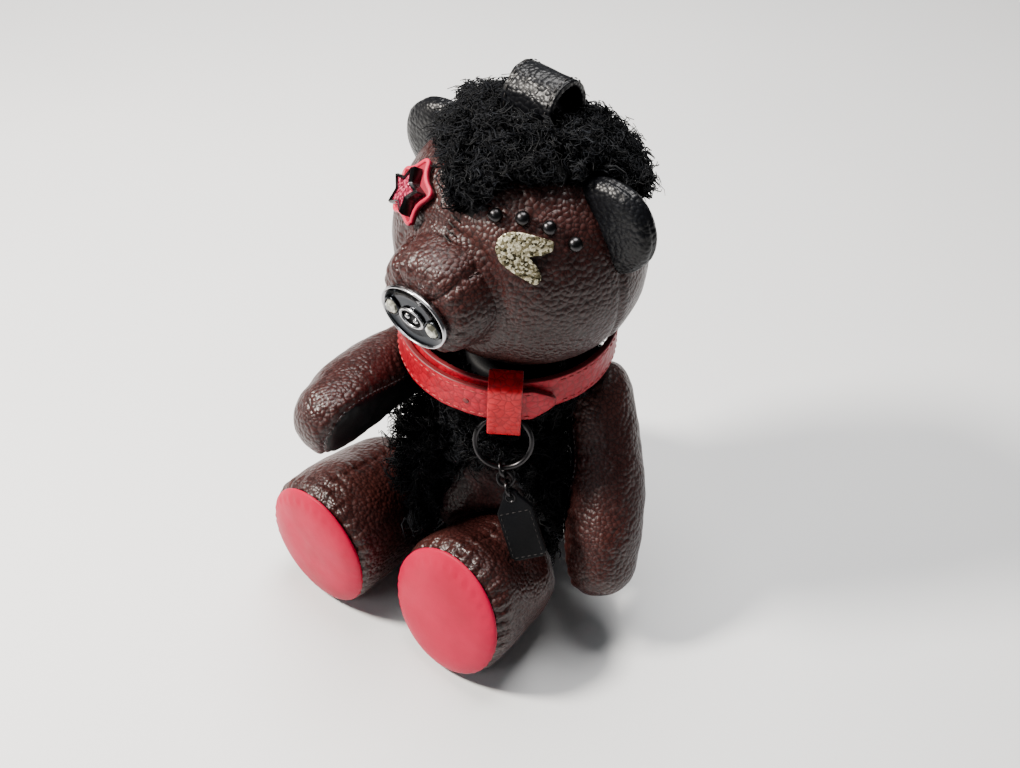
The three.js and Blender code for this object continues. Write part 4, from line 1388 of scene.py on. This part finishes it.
def collar():
    z = COLLAR_AT.z
    radius = STRAP["radius"]
    band = strap("collar_band", BUCKLE + 4, BUCKLE + 356, radius, z)
    place(band, "collar", "leather_red", "collar_strap")
    outer = radius + STRAP["thick"] + 0.3
    tip = strap("collar_end", BUCKLE + 13, 25, outer, z - 0.9, pointed=True)
    place(tip, "collar", "leather_red", "collar_tip")
    face = radius + STRAP["thick"] + 0.02
    tip_face = outer + STRAP["thick"] + 0.02
    rows = (("collar_stitches_top", face, 28, BUCKLE + 354, z + 2.6, 200),
            ("collar_stitches_low", face, 30, BUCKLE + 350, z - 2.6, 200),
            ("end_stitches_top", tip_face, BUCKLE + 18, 12, z + 1.7, 90),
            ("end_stitches_low", tip_face, BUCKLE + 18, 12, z - 3.5, 90))
    for name, reach, first, last, height, steps in rows:
        path = [collar_point(a, reach, height) for a in np.linspace(first, last, steps)]
        threads = stitches(path, lambda p: Vector((p.x, p.y - COLLAR_AT.y, 0)), 1.0, 0.18, 1.6)
        part(name, threads, ["red_thread"], "collar", "leather_red")
    # The punched hole is a low dark disc in the edge colour: painted shade, with no opening cut.
    hole = [(0, -0.1), (0.55, -0.1), (0.62, 0.05), (0.55, 0.12), (0, 0.06)]
    at = collar_frame(-19, outer + STRAP["thick"], z - 1.2)
    part("punched_hole_shade", turned(hole, 24, at), ["red_edge"], "collar", "leather_red")


def rounded_loop(width, height, corner, steps=6):
    """Middle line of a rounded rectangle, in local XY."""
    path = []
    for cx, cy, start in ((1, 1, 0), (-1, 1, 90), (-1, -1, 180), (1, -1, 270)):
        for k in range(steps + 1):
            a = math.radians(start + 90 * k / steps)
            path.append((cx * (width / 2 - corner) + corner * math.cos(a),
                         cy * (height / 2 - corner) + corner * math.sin(a)))
    return path


def keeper():
    """Loop of leather that holds the collar's layers together and folds down round the ring."""
    low, high = node_box("keeper")
    wall, width = 0.9, 6.0
    middle_z = (low.z + high.z) / 2
    depth = STRAP["thick"] * 2 + 1.5 + 2 * wall
    middle = STRAP["radius"] + (STRAP["thick"] + 0.3) / 2 + STRAP["thick"] / 2
    at = collar_frame(0, middle + 0.05 - STRAP["thick"] / 2, middle_z) @ Matrix.Rotation(math.pi / 2, 4, "Y")
    line = rounded_loop(depth - wall, high.z - low.z - wall, 1.25)
    section = strap_section(wall, width, 0.25)
    rows, cols = len(line), len(section)

    def point(s, a):
        i = round(s * rows) % rows
        before, after = Vector(line[i - 1]), Vector(line[(i + 1) % rows])
        edge = (after - before).normalized()
        outward = Vector((edge.y, -edge.x))
        x, y = section[round(a / TAU * cols) % cols]
        p = Vector(line[i]) + outward * x
        return at @ Vector((p.x, p.y, y))

    # The keeper wears the brighter, painted-lit copy of the collar's red.
    obj = mesh("keeper_loop", *loop_grid(point, rows, cols), ["keeper", "red_edge"])
    across = (at.to_3x3() @ UP).normalized()
    zone(obj, 1, lambda p, n: abs(n.dot(across)) > 0.75)
    place(obj, "collar", "leather_red", "keeper")


def buckle():
    low, high = node_box("buckle_frame")
    seat = STRAP["radius"] + STRAP["thick"] * 1.5 + 1.15
    middle_z = (low.z + high.z) / 2
    at = collar_frame(BUCKLE + 3, seat + 0.5, middle_z)
    line = [at @ Vector((x, y, 0)) for x, y in rounded_loop(7.0 - 0.9, high.z - low.z - 0.9, 1.3)]
    part("buckle_wire", tube(line, 0.45, 10, closed=True), ["steel"], "collar", "steel", "buckle_frame")
    bar = [at @ Vector((x, 0.0, 1.15 + 0.12 * math.cos(x / 2))) for x in np.linspace(-3.6, 3.6, 12)]
    part("buckle_tongue", tube(bar, 0.42, 10), ["steel"], "prong", "steel", "buckle_prong")


# ---- ring, links and tag ------------------------------------------------------------------------
LINK = {"radius": 1.45, "wire": 0.34}
RING_WIRE = 0.5
TAG = {"rim": 1.5, "hole": 0.8, "half": 3.4, "length": 12.4, "thick": 1.1}


def wire_circle(centre, one, two, radius, wire, steps):
    """Round wire ring in the plane of two directions."""
    angles = np.linspace(0, TAU, steps + 1)[:-1]
    path = [centre + (one * math.cos(a) + two * math.sin(a)) * radius for a in angles]
    return tube_about(path, one.cross(two), wire)


def ring_and_tag():
    pivot, axis = joint("ring_swing")
    low_point = joint("link_1_swing")[0]
    hang = (low_point - pivot).normalized()
    radius = (low_point - pivot).length / 2
    part("ring_wire", wire_circle(pivot.lerp(low_point, 0.5), hang, axis, radius, RING_WIRE, 48),
         ["gunmetal"], "ring", "gunmetal", "charm_ring")
    held, out = joint("tag_swing")
    down = (held - low_point).normalized()
    across = out.cross(down).normalized()
    for i in (1, 2, 3):
        low, high = node_box(f"tag_link_{i}")
        sideways = across if i == 2 else out
        wire = wire_circle(low.lerp(high, 0.5), down, sideways, LINK["radius"], LINK["wire"], 24)
        part(f"link_wire_{i}", wire, ["gunmetal"], f"link_{i}", "gunmetal", f"tag_link_{i}")
    nest = LINK["wire"] + TAG["rim"] - TAG["hole"] + 0.3
    tag_piece(held + down * (TAG["rim"] - nest), down, out, across)


def tube_about(path, normal, radius, sides=12):
    """Closed wire whose section stays square to a fixed plane normal."""
    count = len(path)

    def point(s, a):
        i = round(s * count) % count
        along = (path[(i + 1) % count] - path[i - 1]).normalized()
        outward = along.cross(normal)
        return path[i] + (outward * math.cos(a) + normal * math.sin(a)) * radius

    return loop_grid(point, count, sides)


def tag_piece(eye, down, out, across):
    """Two layers of leather sewn round the edge, made from the eye's centre along local Y."""
    matrix = axes_at(eye, -across, down, out)
    rim, half, length, face = TAG["rim"], TAG["half"], TAG["length"], TAG["thick"] / 2
    neck = [(-rim * math.cos(a), -rim * math.sin(a)) for a in np.linspace(0, math.pi, 9)]
    outline = neck + [(half - 0.4, 2.0), (half, 2.7), (half, length - 0.8), (half - 0.8, length),
                      (0.8 - half, length), (-half, length - 0.8), (-half, 2.7), (0.4 - half, 2.0)]
    part("tag_leather", slab(outline, -face, face, matrix, 0.2), ["panel"], "tag", "leather_black", "tag",
         smooth=False)
    inset = 0.6
    right, top, end = half - inset, 3.0, length - inset
    edge = [(-right, top), (right, top), (right, end), (-right, end), (-right, top)]
    path = [matrix @ Vector((x, y, face)) for x, y in edge]
    part("tag_stitches", stitches(path, lambda p: out, 0.7, 0.16, 1.2), ["dark_thread"], "tag",
         "leather_black")
    section = [(0.6, -face), (1.0, -face), (1.0, face), (0.9, face + 0.12), (0.7, face + 0.06)]

    def eyelet_point(s, a):
        r, h = section[round(a / TAU * 5) % 5]
        return matrix @ Vector((r * math.cos(TAU * s), r * math.sin(TAU * s), h))

    part("tag_eyelet", loop_grid(eyelet_point, 24, 5), ["gunmetal"], "tag", "gunmetal")


# ---- hang loop ----------------------------------------------------------------------------------
def hang_loop():
    width = LOOP_HIGH.x - LOOP_LOW.x
    thick = 1.2
    radius = (LOOP_HIGH.y - LOOP_LOW.y) / 2 - thick / 2
    middle_y = (LOOP_HIGH.y + LOOP_LOW.y) / 2
    spring = LOOP_HIGH.z - thick / 2 - radius
    foot = 96.0
    line = [(-radius, foot + (spring - foot) * k / 6) for k in range(6)]
    line += [(-radius * math.cos(a), spring + radius * math.sin(a)) for a in np.linspace(0, math.pi, 25)]
    line += [(radius, spring - (spring - foot) * k / 6) for k in range(1, 7)]
    section = strap_section(thick, width, 0.35)
    rows, cols = len(line) - 1, len(section)

    def point(s, a):
        i = round(s * rows)
        before, after = Vector(line[max(i - 1, 0)]), Vector(line[min(i + 1, rows)])
        edge = (after - before).normalized()
        outward = Vector((-edge.y, edge.x))
        x, w = section[round(a / TAU * cols) % cols]
        pinch = 1 - 0.06 * math.sin(math.pi * i / rows)
        p = Vector(line[i]) + outward * x
        return Vector((w * pinch, middle_y + p.x, p.y))

    obj = mesh("loop_strap", *loop_grid(point, rows, cols, closed=False), ["black"])
    subdivide(obj)
    apply_modifiers(obj)

    def relief(p):
        creases = 0.16 * ripple(Vector((p.x * 0.4, p.y, p.z)), 1.6)
        return creases + groove(abs(p.x) - width / 2 + 1.1, 0.3, 0.12)

    sculpt(obj, relief)
    place(obj, "head", "leather_black", "hang_loop")

    def outward(p):
        return Vector((0, p.y - middle_y, max(p.z - spring, 0)))

    for name, side in SIDES:
        edge = [Vector((side * (width / 2 - 0.9) * 0.95, middle_y + y * 1.18, z + max(z - spring, 0) * 0.16))
                for y, z in line]
        part(f"loop_stitches_{name}", stitches(edge, outward, 0.9, 0.22, 1.4), ["dark_thread"], "head",
             "leather_black")


# ---- pieces kept from the CAD -------------------------------------------------------------------
def dress_hidden_nodes():
    """Fillings, discs and pins keep their CAD shape inside the skins."""
    for name, obj in frame["nodes"].items():
        if name.endswith("_disc"):
            material = MATERIAL["board"]
        elif name.endswith("_pin"):
            material = MATERIAL["steel"]
        elif "filling" in name:
            material = MATERIAL["stuffing"]
        else:
            continue
        if not obj.material_slots:
            obj.data.materials.append(material)
        for row in obj.material_slots:
            row.material = material


set_camera()
set_stage()
head()
snout()
nose()
star_eye()
wink_eye()
brow_studs()
ears()
hair()
torso()
chest_shearling()
arms()
legs()
collar()
keeper()
buckle()
ring_and_tag()
hang_loop()
dress_hidden_nodes()
